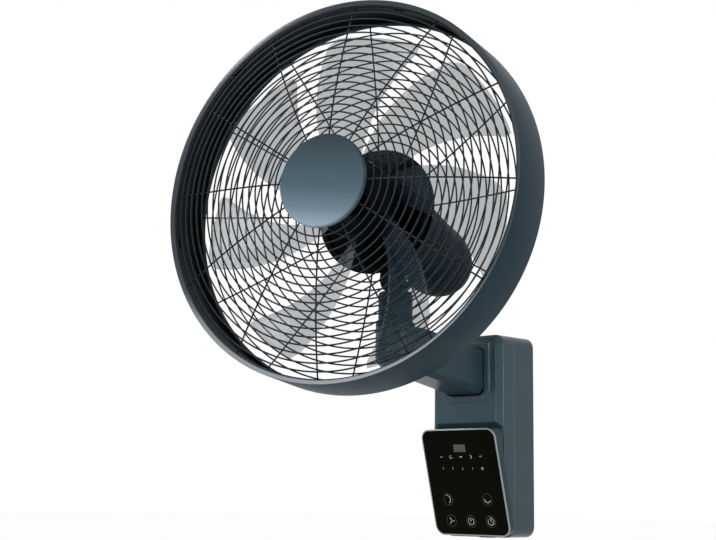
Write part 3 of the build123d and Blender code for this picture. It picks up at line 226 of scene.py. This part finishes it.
def surface(name, rough, *, cloud=9.0, grain=0.0, grain_scale=1400.0, metallic=0.0, alpha=1.0, specular=0.5,
            spread=0.05, soft=0.0):
    """Material, still without its colour, with drifting gloss, a fine grain and softly rounded edges.

    Returns it with the place on the object and the drift, for its colour.
    """
    mat = bpy.data.materials.new(name)
    mat.use_nodes = True
    tree = mat.node_tree
    shader = tree.nodes["Principled BSDF"]
    place = add_node(tree, "TexCoord", {}).outputs["Object"]
    drift = add_node(tree, "TexNoise", {"Vector": place, "Scale": cloud, "Detail": 4.0}).outputs["Fac"]
    gloss = add_node(tree, "MapRange", {"Value": drift, "To Min": rough - spread, "To Max": rough + spread})
    tree.links.new(gloss.outputs["Result"], shader.inputs["Roughness"])
    if grain:
        fine = add_node(tree, "TexNoise", {"Vector": place, "Scale": grain_scale, "Detail": 3.0})
        bump = add_node(tree, "Bump", {"Height": fine.outputs["Fac"], "Strength": grain,
                                       "Distance": GRAIN_DEPTH})
        tree.links.new(bump.outputs["Normal"], shader.inputs["Normal"])
        if soft:
            edge = add_node(tree, "Bevel", {"Radius": soft})
            edge.samples = BEVEL_SAMPLES
            tree.links.new(edge.outputs["Normal"], bump.inputs["Normal"])
    for socket, value in (("Metallic", metallic), ("Specular IOR Level", specular), ("Alpha", alpha)):
        shader.inputs[socket].default_value = value
    return mat, place, drift


def coloured(mat, colour):
    """The material with its base colour linked."""
    mat.node_tree.links.new(colour, mat.node_tree.nodes["Principled BSDF"].inputs["Base Color"])
    return mat


def material(name, light, dark, rough, **finish):
    """Surface whose colour drifts between two shades."""
    mat, _, drift = surface(name, rough, **finish)
    return coloured(mat, ramp(mat.node_tree, drift, tuple(zip(DRIFT_SPAN, (dark, light)))))


slate = material("slate_plastic", (36, 55, 64), (31, 50, 59), 0.4, grain=0.12, specular=0.06)
slate_arm = material("slate_arm", (47, 66, 74), (41, 60, 68), 0.32, grain=0.12, specular=0.16, soft=0.002)
# painted light: the cover's slate is the hoop's plastic, painted lighter
cover_slate_painted_light = material("slate_cover_painted_light", (49, 72, 81), (43, 66, 75), 0.24, grain=0.1, specular=0.3, soft=0.003,
                       spread=0.03)
# painted shade: the lip's slate is the hoop's plastic, painted darker
lip_gloss_painted_shade = material("slate_lip_painted_shade", (24, 36, 42), (20, 31, 36), 0.2, grain=0.08, spread=0.03)
# painted shade: the hoop's inside is the same slate, painted near black
inner_slate_painted_shade = material("slate_inner_painted_shade", (5, 9, 11), (3, 6, 8), 0.5, grain=0.15, specular=0.04)
black = material("black_plastic", (9, 11, 12), (6, 8, 9), 0.5, grain=0.25, specular=0.05)
housing_grey = material("housing_plastic", (23, 38, 43), (18, 31, 36), 0.5, grain=0.3, specular=0.02)
plate_black = material("plate_plastic", (3, 4, 5), (1, 2, 3), 0.5, grain=0.3, specular=0.03)
wire = material("wire_coating", (11, 15, 18), (7, 10, 12), 0.36, grain=0.1, specular=0.2)
wire.node_tree.nodes["Principled BSDF"].inputs["Specular Tint"].default_value = (0.66, 0.84, 1.0, 1)
glass = material("panel_glass", (10, 10, 3), (8, 8, 2), 0.1, specular=0.02, spread=0.02)
trim = material("trim_grey", (150, 158, 158), (128, 136, 138), 0.35, grain=0.08, metallic=0.3)
steel = material("zinc_steel", (176, 178, 182), (150, 153, 158), 0.32, grain=0.1, metallic=0.95)
core = material("core_steel", (96, 96, 99), (70, 70, 74), 0.42, grain=0.3, metallic=0.8)
copper = material("copper_wire", (196, 118, 72), (160, 90, 52), 0.35, grain=0.5, grain_scale=2200,
                  metallic=0.9)
bronze = material("bronze", (190, 150, 88), (160, 124, 70), 0.4, grain=0.3, metallic=0.9)
acetal = material("white_gear", (226, 226, 218), (212, 212, 204), 0.4, grain=0.1)
board = material("circuit_board", (30, 92, 52), (20, 74, 42), 0.4, grain=0.3, grain_scale=600, cloud=60)
lamp = material("lamp_lens", (214, 214, 206), (196, 196, 188), 0.25)
rubber = material("rubber", (30, 30, 30), (22, 22, 22), 0.75, grain=0.4)
print_grey = material("print_grey", (176, 180, 178), (150, 154, 152), 0.6, cloud=240)
print_dim = material("print_dim", (66, 68, 66), (52, 54, 52), 0.6, cloud=240)
smoked = material("smoked_blade", (36, 57, 69), (28, 46, 57), 0.2, alpha=0.34, cloud=22)


def badge_painted_reflection():
    """Fine metallic paint with a painted reflection: it pales from dark at the badge's top towards its lower
    edge.
    """
    mat, place, _ = surface("badge_metallic_painted_reflection", 0.42, metallic=0.05, grain=0.1, specular=0.12)
    tree = mat.node_tree
    up = (AXIAL.to_3x3() @ Vector((BADGE_LEAN, 1, 0))).normalized()
    along = add_node(tree, "VectorMath", {0: place, 1: up})
    along.operation = "DOT_PRODUCT"
    middle = (AXIAL @ Vector((0, 0, BADGE_AHEAD))).dot(up)
    reach = BADGE_R * 0.001
    span = add_node(tree, "MapRange", {"Value": along.outputs["Value"], "From Min": middle - reach,
                                       "From Max": middle + reach})
    # painted reflection: light at the badge's lower edge, dark at its top
    stops = ((0, (124, 137, 148)), (0.2, (86, 100, 110)), (0.42, (56, 74, 83)), (1, (24, 36, 43)))
    return coloured(mat, ramp(tree, span.outputs["Result"], stops))


PAINT = {
    slate: ("arm_lid", "shroud", "neck_column"),
    cover_slate_painted_light: ("front_cover", "rear_shell"),
    slate_arm: ("panel_housing", "arm_body"),
    black: ("guard_lock_ring", "guard_clips", "impeller_nut", "swing_motor", "tilt_motor", "end_bell",
            "mains_relay", "terminal_block", "transformer", "remote_receiver", "buzzer", "display_module"),
    housing_grey: ("motor_can", "rear_cover"),
    plate_black: ("motor_plate",),
    wire: ("front_guard_rings", "front_guard_spokes", "front_guard_rim", "rear_guard_rings",
           "rear_guard_spokes", "rear_guard_rim"),
    badge_painted_reflection(): ("badge",),
    smoked: ("impeller",),
    glass: ("control_glass",),
    trim: ("panel_trim",),
    steel: ("wall_plate", "lock_screws", "cover_screws", "panel_screws", "board_screws", "arm_screws",
            "stator_screws", "spindle_clip", "neck_spindle", "motor_shaft", "tilt_pin", "bearings",
            "smoothing_capacitor"),
    core: ("stator_core", "magnet_rotor"),
    copper: ("stator_windings",),
    bronze: ("swing_bushes", "touch_springs"),
    acetal: ("swing_pinion", "swing_sector", "tilt_sector", "tilt_pinion", "thrust_washer"),
    board: ("touch_board", "power_board", "driver_board"),
    lamp: ("indicator_lamps",),
    rubber: ("cable_grommet",),
}
for paint, names in PAINT.items():
    for name in names:
        for slot in frame["nodes"][name].material_slots:
            slot.material = paint


# ================================================================ Mesh helpers

def mesh_object(name, verts, faces, place, mats, body, indices=None, smooth=True):
    """Mesh from millimetre points in a local frame; it rides on a body."""
    mesh = bpy.data.meshes.new(name)
    mesh.from_pydata([place @ Vector(v) for v in verts], [], faces)
    for mat in mats:
        mesh.materials.append(mat)
    for k, face in enumerate(mesh.polygons):
        face.use_smooth = smooth
        if indices:
            face.material_index = indices[k]
    mesh.validate()
    skin = bmesh.new()
    skin.from_mesh(mesh)
    bmesh.ops.recalc_face_normals(skin, faces=skin.faces)
    skin.to_mesh(mesh)
    skin.free()
    obj = bpy.data.objects.new(name, mesh)
    bpy.context.collection.objects.link(obj)
    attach(obj, body)
    return obj


def rounded(points, radius_at):
    """Closed profile with listed corners replaced by arcs; radius_at maps a point's index to its radius."""
    out = []
    for i, point in enumerate(points):
        here = Vector(point)
        if i not in radius_at:
            out.append(here)
            continue
        before = (Vector(points[i - 1]) - here).normalized() * radius_at[i]
        after = (Vector(points[(i + 1) % len(points)]) - here).normalized() * radius_at[i]
        for k in range(CORNER_STEPS + 1):
            t = k / CORNER_STEPS
            out.append(here + before * (1 - t) ** 2 + after * t ** 2)
    return [tuple(p) for p in out]


def circle(radius, z, steps):
    """Points of a circle about local Z."""
    return [(radius * cos(2 * pi * k / steps), radius * sin(2 * pi * k / steps), z) for k in range(steps)]


def turned(profile, steps):
    """Closed (radius, z) profile turned about local Z; its faces follow the profile, step by step."""
    n = len(profile)
    verts = [(r * cos(2 * pi * k / steps), r * sin(2 * pi * k / steps), z)
             for k in range(steps) for r, z in profile]
    faces = []
    for k in range(steps):
        a, b = k * n, ((k + 1) % steps) * n
        faces += [(a + i, b + i, b + (i + 1) % n, a + (i + 1) % n) for i in range(n)]
    return verts, faces


def tube(points, radius, sides, closed):
    """Round tube along points that lie in a plane through local Z or square to it."""
    verts, faces = [], []
    n = len(points)
    for i, point in enumerate(points):
        here = Vector(point)
        if closed:
            along = Vector(points[(i + 1) % n]) - Vector(points[i - 1])
        else:
            along = Vector(points[min(i + 1, n - 1)]) - Vector(points[max(i - 1, 0)])
        along.normalize()
        side = along.cross(Vector((0, 0, 1))).normalized()
        lift = side.cross(along)
        for k in range(sides):
            a = 2 * pi * k / sides
            verts.append(here + radius * (cos(a) * side + sin(a) * lift))
    for i in range(n if closed else n - 1):
        a, b = i * sides, ((i + 1) % n) * sides
        faces += [(a + k, a + (k + 1) % sides, b + (k + 1) % sides, b + k) for k in range(sides)]
    if not closed:
        faces += [tuple(reversed(range(sides))), tuple(range((n - 1) * sides, n * sides))]
    return verts, faces


def joined(parts):
    """One vertex and face list from several."""
    verts, faces = [], []
    for v, f in parts:
        base = len(verts)
        verts += list(v)
        faces += [tuple(base + i for i in face) for face in f]
    return verts, faces


# ================================================================ Wire guards

def front_dome(radius):
    """Height of the front guard's spokes ahead of the lip plane."""
    reach = max(0.0, radius - BADGE_R) / (RIM_R - BADGE_R)
    return FRONT_CENTRE - (FRONT_CENTRE - FRONT_RIM_Z) * reach ** FRONT_BULGE


def rear_dish(radius):
    """Height of the rear spokes: deepest at the motor plate, level with the hoop's back at the rim."""
    reach = max(0.0, radius - MOTOR_PLATE_R) / (REAR_RIM_R - MOTOR_PLATE_R)
    return REAR_CENTRE + (REAR_RIM_Z - REAR_CENTRE) * reach ** REAR_BULGE


def guard(name, rings, start_r, rim_r, rim_z, height, side, turned_by, replaced):
    """Round wires welded across their spokes, with a stout rim wire."""
    parts = []
    spacing = (rim_r - start_r) / (rings + 1)
    for k in range(1, rings + 1):
        radius = start_r + spacing * k
        slope = abs(height(radius + WIRE / 2) - height(radius - WIRE / 2))
        middle = height(radius) + side * (WIRE * WELD_DEPTH + slope * SLOPE_LIFT)
        parts.append(tube(circle(radius, middle, RING_STEPS), WIRE / 2, WIRE_SIDES, True))
    foot_r = start_r - SPOKE_FOOT
    radii = [foot_r + (rim_r - foot_r) * i / SPOKE_STEPS for i in range(SPOKE_STEPS + 1)]
    for k in range(SPOKES):
        a = radians(turned_by + 360 * k / SPOKES)
        parts.append(tube([(r * cos(a), r * sin(a), height(r)) for r in radii], WIRE / 2, WIRE_SIDES, False))
    parts.append(tube(circle(rim_r, rim_z, RIM_STEPS), RIM_WIRE / 2, RIM_SIDES, True))
    obj = mesh_object(name, *joined(parts), AXIAL, [wire], "head")
    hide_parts(*replaced)


guard("front_guard_wires", FRONT_RINGS, BADGE_R, RIM_R, FRONT_RIM_Z, front_dome, 1, SPOKE_TURN,
      ("front_guard_rings", "front_guard_spokes", "front_guard_rim"))
guard("rear_guard_wires", REAR_RINGS, MOTOR_PLATE_R, REAR_RIM_R, REAR_RIM_Z, rear_dish, -1, 0,
      ("rear_guard_rings", "rear_guard_spokes", "rear_guard_rim"))


# ================================================================ Hoop

def hoop():
    """Hoop with a glossy lip that slopes inward from its outer edge; the lip is painted darker and the
    inside near black, as painted shade.
    """
    flange_r = SHROUD_BACK_R - REAR_FLANGE_W
    flange_z = -SHROUD_DEPTH + SHROUD_WALL
    profile = rounded([
        (SHROUD_R - LIP_W, WALL_TOP), (SHROUD_R - LIP_W, -LIP_FALL), (SHROUD_R - LIP_EDGE_W, 0),
        (SHROUD_R, -LIP_EDGE_H), (SHROUD_BACK_R, -SHROUD_DEPTH), (flange_r, -SHROUD_DEPTH),
        (flange_r, flange_z), (SHROUD_BACK_R - SHROUD_WALL, flange_z), (SHROUD_R - SHROUD_WALL, WALL_TOP),
    ], {1: LIP_ROUND, 2: EDGE_ROUND, 4: BACK_ROUND})
    n = len(profile)
    lip = range(CORNER_STEPS + 2)         # the lip's inner edge, its rounding and its slope
    inside = range(n - 3, n)              # flange, wall and underside of the lip
    indices = [2 if k in lip else 1 if k in inside else 0 for k in range(n)] * HOOP_STEPS
    obj = mesh_object("hoop", *turned(profile, HOOP_STEPS), AXIAL, [slate, inner_slate_painted_shade, lip_gloss_painted_shade], "head",
                      indices)
    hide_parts("shroud")


hoop()


# ================================================================ Impeller

def blade_points(across, along):
    """Grid of (front, back) points over one swept, arched blade, its tip on a circle about the fan axis."""
    half_arc = radians(BLADE_ARC / 2)
    root_r = HUB_R - ROOT_BITE
    grid = []
    for i in range(along + 1):
        share = i / along
        row = []
        for k in range(across + 1):
            s = 2 * k / across - 1
            corner = max(0.0, abs(s) - TIP_CORNER) / (1 - TIP_CORNER)
            cut = TIP_CORNER_R * share ** TIP_ONSET * (1 - sqrt(max(0.0, 1 - corner ** 2)))
            radius = root_r + (BLADE_TIP_R - root_r) * share - cut
            flat = radius * cos(s * half_arc)
            part = (flat - root_r) / (BLADE_TIP_R + TIP_PAST - root_r)
            front = BLADE_ROOT_FRONT + (BLADE_TIP_FRONT - BLADE_ROOT_FRONT) * sin(part * pi / 2)
            back = BLADE_ROOT_BACK + (BLADE_TIP_BACK - BLADE_ROOT_BACK) * part ** 2
            width = 2 * flat * tan(half_arc)
            chord = sqrt(width ** 2 + (back - front) ** 2)
            pitch = atan((back - front) / width)
            lag = radians(-BLADE_SWEEP * (flat / cos(half_arc) - HUB_R))
            u = Vector((-sin(lag) * cos(pitch), cos(lag) * cos(pitch), sin(pitch)))
            w = Vector((cos(lag), sin(lag), 0))
            v = w.cross(u)
            thick = BLADE_T / 2 * max(THIN_EDGE, 1 - s ** EDGE_ONSET)
            across_at = tan(s * half_arc) / tan(half_arc)
            base = flat * w - Vector((0, 0, (front + back) / 2))
            base += u * across_at * chord / 2 - v * BLADE_CAMBER * chord * (1 - across_at ** 2)
            row.append((base + v * thick, base - v * thick))
        grid.append(row)
    return grid


def blade_faces(across, along):
    """Faces over the front and back of a blade's grid and round its edges."""
    w = 2 * (across + 1)
    faces = []
    for i in range(along):
        for k in range(across):
            a = i * w + 2 * k
            faces += [(a, a + 2, a + w + 2, a + w), (a + 1, a + w + 1, a + w + 3, a + 3)]
        a, b = i * w, i * w + 2 * across
        faces += [(a, a + w, a + w + 1, a + 1), (b, b + 1, b + w + 1, b + w)]
    for row, order in ((0, 1), (along * w, -1)):
        for a in range(row, row + 2 * across, 2):
            faces.append((a, a + 1, a + 3, a + 2)[::order])
    return faces


def impeller():
    """Seven translucent blades on a domed hub with a boss for the shaft."""
    grid = blade_points(BLADE_ACROSS, BLADE_ALONG)
    faces = blade_faces(BLADE_ACROSS, BLADE_ALONG)
    parts = []
    for b in range(BLADES):
        spin = turn(BLADE_PHASE + 360 * b / BLADES, "Z")
        parts.append(([spin @ p for row in grid for pair in row for p in pair], faces))
    blades = mesh_object("impeller_blades", *joined(parts), AXIAL, [smoked], "rotor")
    face, foot, floor_z = -HUB_AT, -HUB_AT - HUB_DEPTH, -HUB_AT - HUB_FLOOR
    cup_r = HUB_R - HUB_WALL
    cup = rounded([(HUB_HOLE_R, face), (HUB_R, face), (HUB_R, foot), (cup_r, foot), (cup_r, floor_z),
                   (HUB_HOLE_R, floor_z)], {1: HUB_ROUND})
    hub = mesh_object("impeller_hub", *turned(cup, HUB_STEPS), AXIAL, [black], "rotor")
    sleeve = [(SHAFT_HOLE_R, face), (BOSS_R, face), (BOSS_R, foot), (SHAFT_HOLE_R, foot)]
    boss = mesh_object("impeller_boss", *turned(sleeve, BOSS_STEPS), AXIAL, [black], "rotor", smooth=False)
    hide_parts("impeller")


impeller()


# ================================================================ Panel print

def ribbon(points, width, closed=False):
    """Flat line of constant width in the panel's plane."""
    verts, faces = [], []
    n = len(points)
    for i, point in enumerate(points):
        here = Vector(point)
        ahead = Vector(points[(i + 1) % n]) if closed or i < n - 1 else here
        behind = Vector(points[i - 1]) if closed or i else here
        along = (ahead - behind).normalized()
        side = Vector((-along.y, along.x)) * width / 2
        verts += [(*(here + side), PRINT_Z), (*(here - side), PRINT_Z)]
    for i in range(n if closed else n - 1):
        a, b = 2 * i, 2 * ((i + 1) % n)
        faces.append((a, a + 1, b + 1, b))
    return verts, faces


def arc(x, y, radius, start, end, steps=20):
    """Points of an arc from one angle to another, in degrees."""
    angles = [radians(start + (end - start) * k / steps) for k in range(steps + 1)]
    return [(x + radius * cos(a), y + radius * sin(a)) for a in angles]


def disc(x, y, radius, steps):
    """Flat round dot in the panel's plane."""
    return [(x + u, y + v, z) for u, v, z in circle(radius, PRINT_Z, steps)], [tuple(range(steps))]


def strokes(x, y, *lines):
    """Ribbons from (width, points), with the points measured from the symbol's own place."""
    return [ribbon([(x + u, y + v) for u, v in points], width) for width, points in lines]


def raised(parts):
    """Flat print given its thickness down to the glass, so that it is a closed solid."""
    verts, faces = joined(parts)
    n = len(verts)
    edges = [(a, b) for face in faces for a, b in zip(face, face[1:] + face[:1])]
    inside = set(edges)
    rims = [(b, a, a + n, b + n) for a, b in edges if (b, a) not in inside]
    under = [(x, y, z - PRINT_Z) for x, y, z in verts]
    return verts + under, faces + [tuple(i + n for i in reversed(face)) for face in faces] + rims


DIGIT_W = 0.8                # scale of the speed numbers across and up
DIGIT_H = 0.9
DIGIT_LINE = 0.45            # width of their lines
# One line through each of the numbers 1 to 4
DIGITS = (
    [(-0.5, 0.9), (0.2, 1.5), (0.2, -1.5)],
    [(-0.9, 0.9), (-0.4, 1.5), (0.5, 1.5), (0.9, 0.8), (-0.9, -1.5), (1.0, -1.5)],
    [(-0.9, 1.5), (0.8, 1.5), (0.0, 0.3), (0.8, -0.3), (0.7, -1.2), (0.0, -1.5), (-0.9, -1.2)],
    [(0.5, -1.5), (0.5, 1.5), (-1.0, -0.6), (1.0, -0.6)],
)
LEAF_TWIST = 38 / 5          # how a leaf of the fan symbol curls, degrees per millimetre


def key_symbols():
    """Swing, nod, fan, power and timer on the five touch places."""
    leaves = []
    for k in range(3):
        turns = [(r, radians(90 + 120 * k + LEAF_TWIST * r)) for r in (0.9, 2, 3.2, 4.6)]
        leaves.append((1.0, [(r * cos(a), r * sin(a)) for r, a in turns]))
    swing = strokes(-KEY_X, KEYS_HIGH, (0.9, arc(-1.5, 0, 5.2, -62, 62)),
                    (0.6, [(-3.2, 5.6), (-1.2, 4.6), (0.5, 6.1)]))
    nod = strokes(KEY_X, KEYS_HIGH, (0.9, arc(0, 1.5, 5.2, 208, 332)),
                  (0.6, [(-5, 1.2), (-4.6, -1), (-2.6, -0.4)]))
    fan = strokes(-KEY_X, KEYS_LOW, *leaves)
    power = strokes(0, KEYS_LOW, (0.8, arc(0, 0, 4.4, 125, 415)), (0.8, [(0, -0.5), (0, 5.2)]))
    timer = strokes(KEY_X, KEYS_LOW, (0.8, arc(0, 0, 4.6, -215, 90)), (0.7, [(0, 3.2), (0, 0), (2.2, -1.2)]),
                    (0.6, [(-1.4, 6.4), (0.6, 4.6), (-1.2, 2.8)]))
    return swing + nod + fan + power + timer


def lamp_symbols():
    """Five mode symbols over four speed numbers and a sun."""
    left, near_left, middle, near_right, right = (LAMP_STEP * (k - 2) for k in range(5))
    wave = [(-2.4, -0.3), (-1.2, 0.5), (0, -0.3), (1.2, 0.5), (2.2, -0.2)]
    parts = strokes(left, SYMBOL_ROW, (0.6, wave))
    parts += strokes(near_left, SYMBOL_ROW, (0.8, arc(-0.6, 0, 1.7, 60, 300, 10)),
                     (0.7, [(0.6, -1), (2.4, -1)]))
    parts += [disc(middle + side, SYMBOL_ROW, 0.9, 12) for side in (-1.3, 1.3)]
    parts += strokes(near_right, SYMBOL_ROW, (0.7, arc(0, 0, 1.7, -120, 110, 10)),
                     (0.5, [(-1.4, 1.9), (0.2, 1.6), (-0.4, 0.4)]))
    parts += strokes(right, SYMBOL_ROW, (0.55, [(-1.6, 1.2), (-1, -0.8), (0, 0.6), (1, -0.8), (1.8, 1.2)]))
    for k, line in enumerate(DIGITS):
        points = [(u * DIGIT_W, v * DIGIT_H) for u, v in line]
        parts += strokes(LAMP_STEP * (k - 2), NUMBER_ROW, (DIGIT_LINE, points))
    parts.append(disc(right, NUMBER_ROW, 1.1, 14))
    for k in range(6):
        a = radians(60 * k)
        parts += strokes(right, NUMBER_ROW, (0.5, [(r * cos(a), r * sin(a)) for r in (1.3, 2.2)]))
    return parts


def panel_print():
    """Touch symbols, mode symbols and speed numbers on the glass."""
    keys = [(-KEY_X, KEYS_HIGH), (KEY_X, KEYS_HIGH)] + [(x, KEYS_LOW) for x in (-KEY_X, 0, KEY_X)]
    circles = [ribbon(arc(x, y, KEY_RING_R, 0, 360, KEY_STEPS)[:-1], KEY_LINE, True) for x, y in keys]
    x, low, high = DISPLAY_W / 2, DISPLAY_AT - DISPLAY_H / 2, DISPLAY_AT + DISPLAY_H / 2
    window = [(-x, low, PRINT_Z), (x, low, PRINT_Z), (x, high, PRINT_Z), (-x, high, PRINT_Z)]
    symbols = raised(key_symbols() + lamp_symbols())
    marks = mesh_object("panel_marks", *symbols, PANEL, [print_grey], "bracket", smooth=False)
    rings = mesh_object("panel_touch_rings", *raised(circles), PANEL, [print_dim], "bracket", smooth=False)
    pane = raised([(window, [(0, 1, 2, 3)])])
    show = mesh_object("panel_display", *pane, PANEL, [print_dim], "bracket", smooth=False)


panel_print()


# ================================================================ Camera

AZIMUTH, PITCH, ROLL = 43.92, 9.27, 0.76        # degrees
CAMERA_AT = (1.1444, -1.4574, -0.0809)          # metres
PHOTO_W = 716                                   # pixels
FOCAL_LENGTH = 1400                             # pixels
SENSOR_W = 36                                   # millimetres


def camera():
    """The photograph's place, angle and lens."""
    a, e, r = radians(AZIMUTH), radians(-PITCH), radians(ROLL)
    back = Vector((sin(a) * cos(e), -cos(a) * cos(e), sin(e)))
    right = Vector((cos(a), sin(a), 0))
    up = back.cross(right)
    right, up = cos(r) * right + sin(r) * up, cos(r) * up - sin(r) * right
    data = bpy.data.cameras.new("camera")
    data.lens = FOCAL_LENGTH / PHOTO_W * SENSOR_W
    data.sensor_width = SENSOR_W
    data.clip_start, data.clip_end = 0.05, 100
    obj = bpy.data.objects.new("camera", data)
    bpy.context.collection.objects.link(obj)
    obj.matrix_world = shift(*CAMERA_AT) @ Matrix((right, up, back)).transposed().to_4x4()
    bpy.context.scene.camera = obj


camera()


# ================================================================ Floor, surroundings and lamps

FLOOR_Z = -0.55              # metres
FLOOR_HALF = 30.0
FLOOR_WHITE = 0.97           # the rest is the lit floor, which keeps the object's shadow
WORLD_STRENGTH = 0.22
LAMP_COLOUR = (0.93, 0.975, 1)
LIT_POINT = (0.03, -0.25, 0.1)
# Name, place, width, height and watts
AREA_LAMPS = (
    ("front_strip", (0.25, -2.9, 0.45), 0.7, 1.2, 46),
    ("side_strip", (2.55, -0.45, 0.3), 0.24, 1.2, 24),
    ("overhead", (-0.8, -1.65, 2.0), 2.9, 1.0, 56),
)


def seen(tree, share):
    """The share for rays from the camera, a reflection or through glass, and 0 for all other light."""
    path = add_node(tree, "LightPath", {}).outputs
    either = calculated(tree, "MAXIMUM", path["Is Camera Ray"], path["Is Glossy Ray"])
    any_of = calculated(tree, "MAXIMUM", either, path["Is Transmission Ray"])
    return calculated(tree, "MULTIPLY", any_of, share)


def floor():
    """Plain pale floor, well below the wall bracket."""
    mesh = bpy.data.meshes.new("floor")
    corners = [(x * FLOOR_HALF, y * FLOOR_HALF, FLOOR_Z) for x, y in ((-1, -1), (1, -1), (1, 1), (-1, 1))]
    mesh.from_pydata(corners, [], [(0, 1, 2, 3)])
    mat = bpy.data.materials.new("floor")
    mat.use_nodes = True
    tree = mat.node_tree
    shader = tree.nodes["Principled BSDF"]
    shader.inputs["Base Color"].default_value = (0.62, 0.62, 0.62, 1)
    shader.inputs["Roughness"].default_value = 0.9
    glow = add_node(tree, "Emission", {"Color": (1, 1, 1, 1)})
    mix = add_node(tree, "MixShader", {"Fac": seen(tree, FLOOR_WHITE), 1: shader.outputs["BSDF"],
                                       2: glow.outputs["Emission"]})
    tree.links.new(mix.outputs["Shader"], tree.nodes["Material Output"].inputs["Surface"])
    mesh.materials.append(mat)
    obj = bpy.data.objects.new("floor", mesh)
    bpy.context.collection.objects.link(obj)


def world():
    """Even pale surroundings, white where the camera or a reflection sees them."""
    data = bpy.data.worlds.new("studio")
    bpy.context.scene.world = data
    data.use_nodes = True
    tree = data.node_tree
    base = tree.nodes["Background"]
    base.inputs["Color"].default_value = (0.93, 0.96, 1.0, 1)
    base.inputs["Strength"].default_value = WORLD_STRENGTH
    white = add_node(tree, "Background", {"Color": (1, 1, 1, 1), "Strength": 1.0})
    mix = add_node(tree, "MixShader", {"Fac": seen(tree, 1.0), 1: base.outputs["Background"],
                                       2: white.outputs["Background"]})
    tree.links.new(mix.outputs["Shader"], tree.nodes["World Output"].inputs["Surface"])


def area_lamp(name, place, width, height, power):
    """Soft rectangular lamp, turned to the fan."""
    data = bpy.data.lights.new(name, "AREA")
    data.shape = "RECTANGLE"
    data.size, data.size_y = width, height
    data.energy = power
    data.color = LAMP_COLOUR
    obj = bpy.data.objects.new(name, data)
    bpy.context.collection.objects.link(obj)
    obj.location = place
    obj.rotation_mode = "QUATERNION"
    obj.rotation_quaternion = (Vector(LIT_POINT) - Vector(place)).to_track_quat("-Z", "Y")


floor()
world()
for area in AREA_LAMPS:
    area_lamp(*area)

scene = bpy.context.scene
scene.view_settings.view_transform = "Standard"
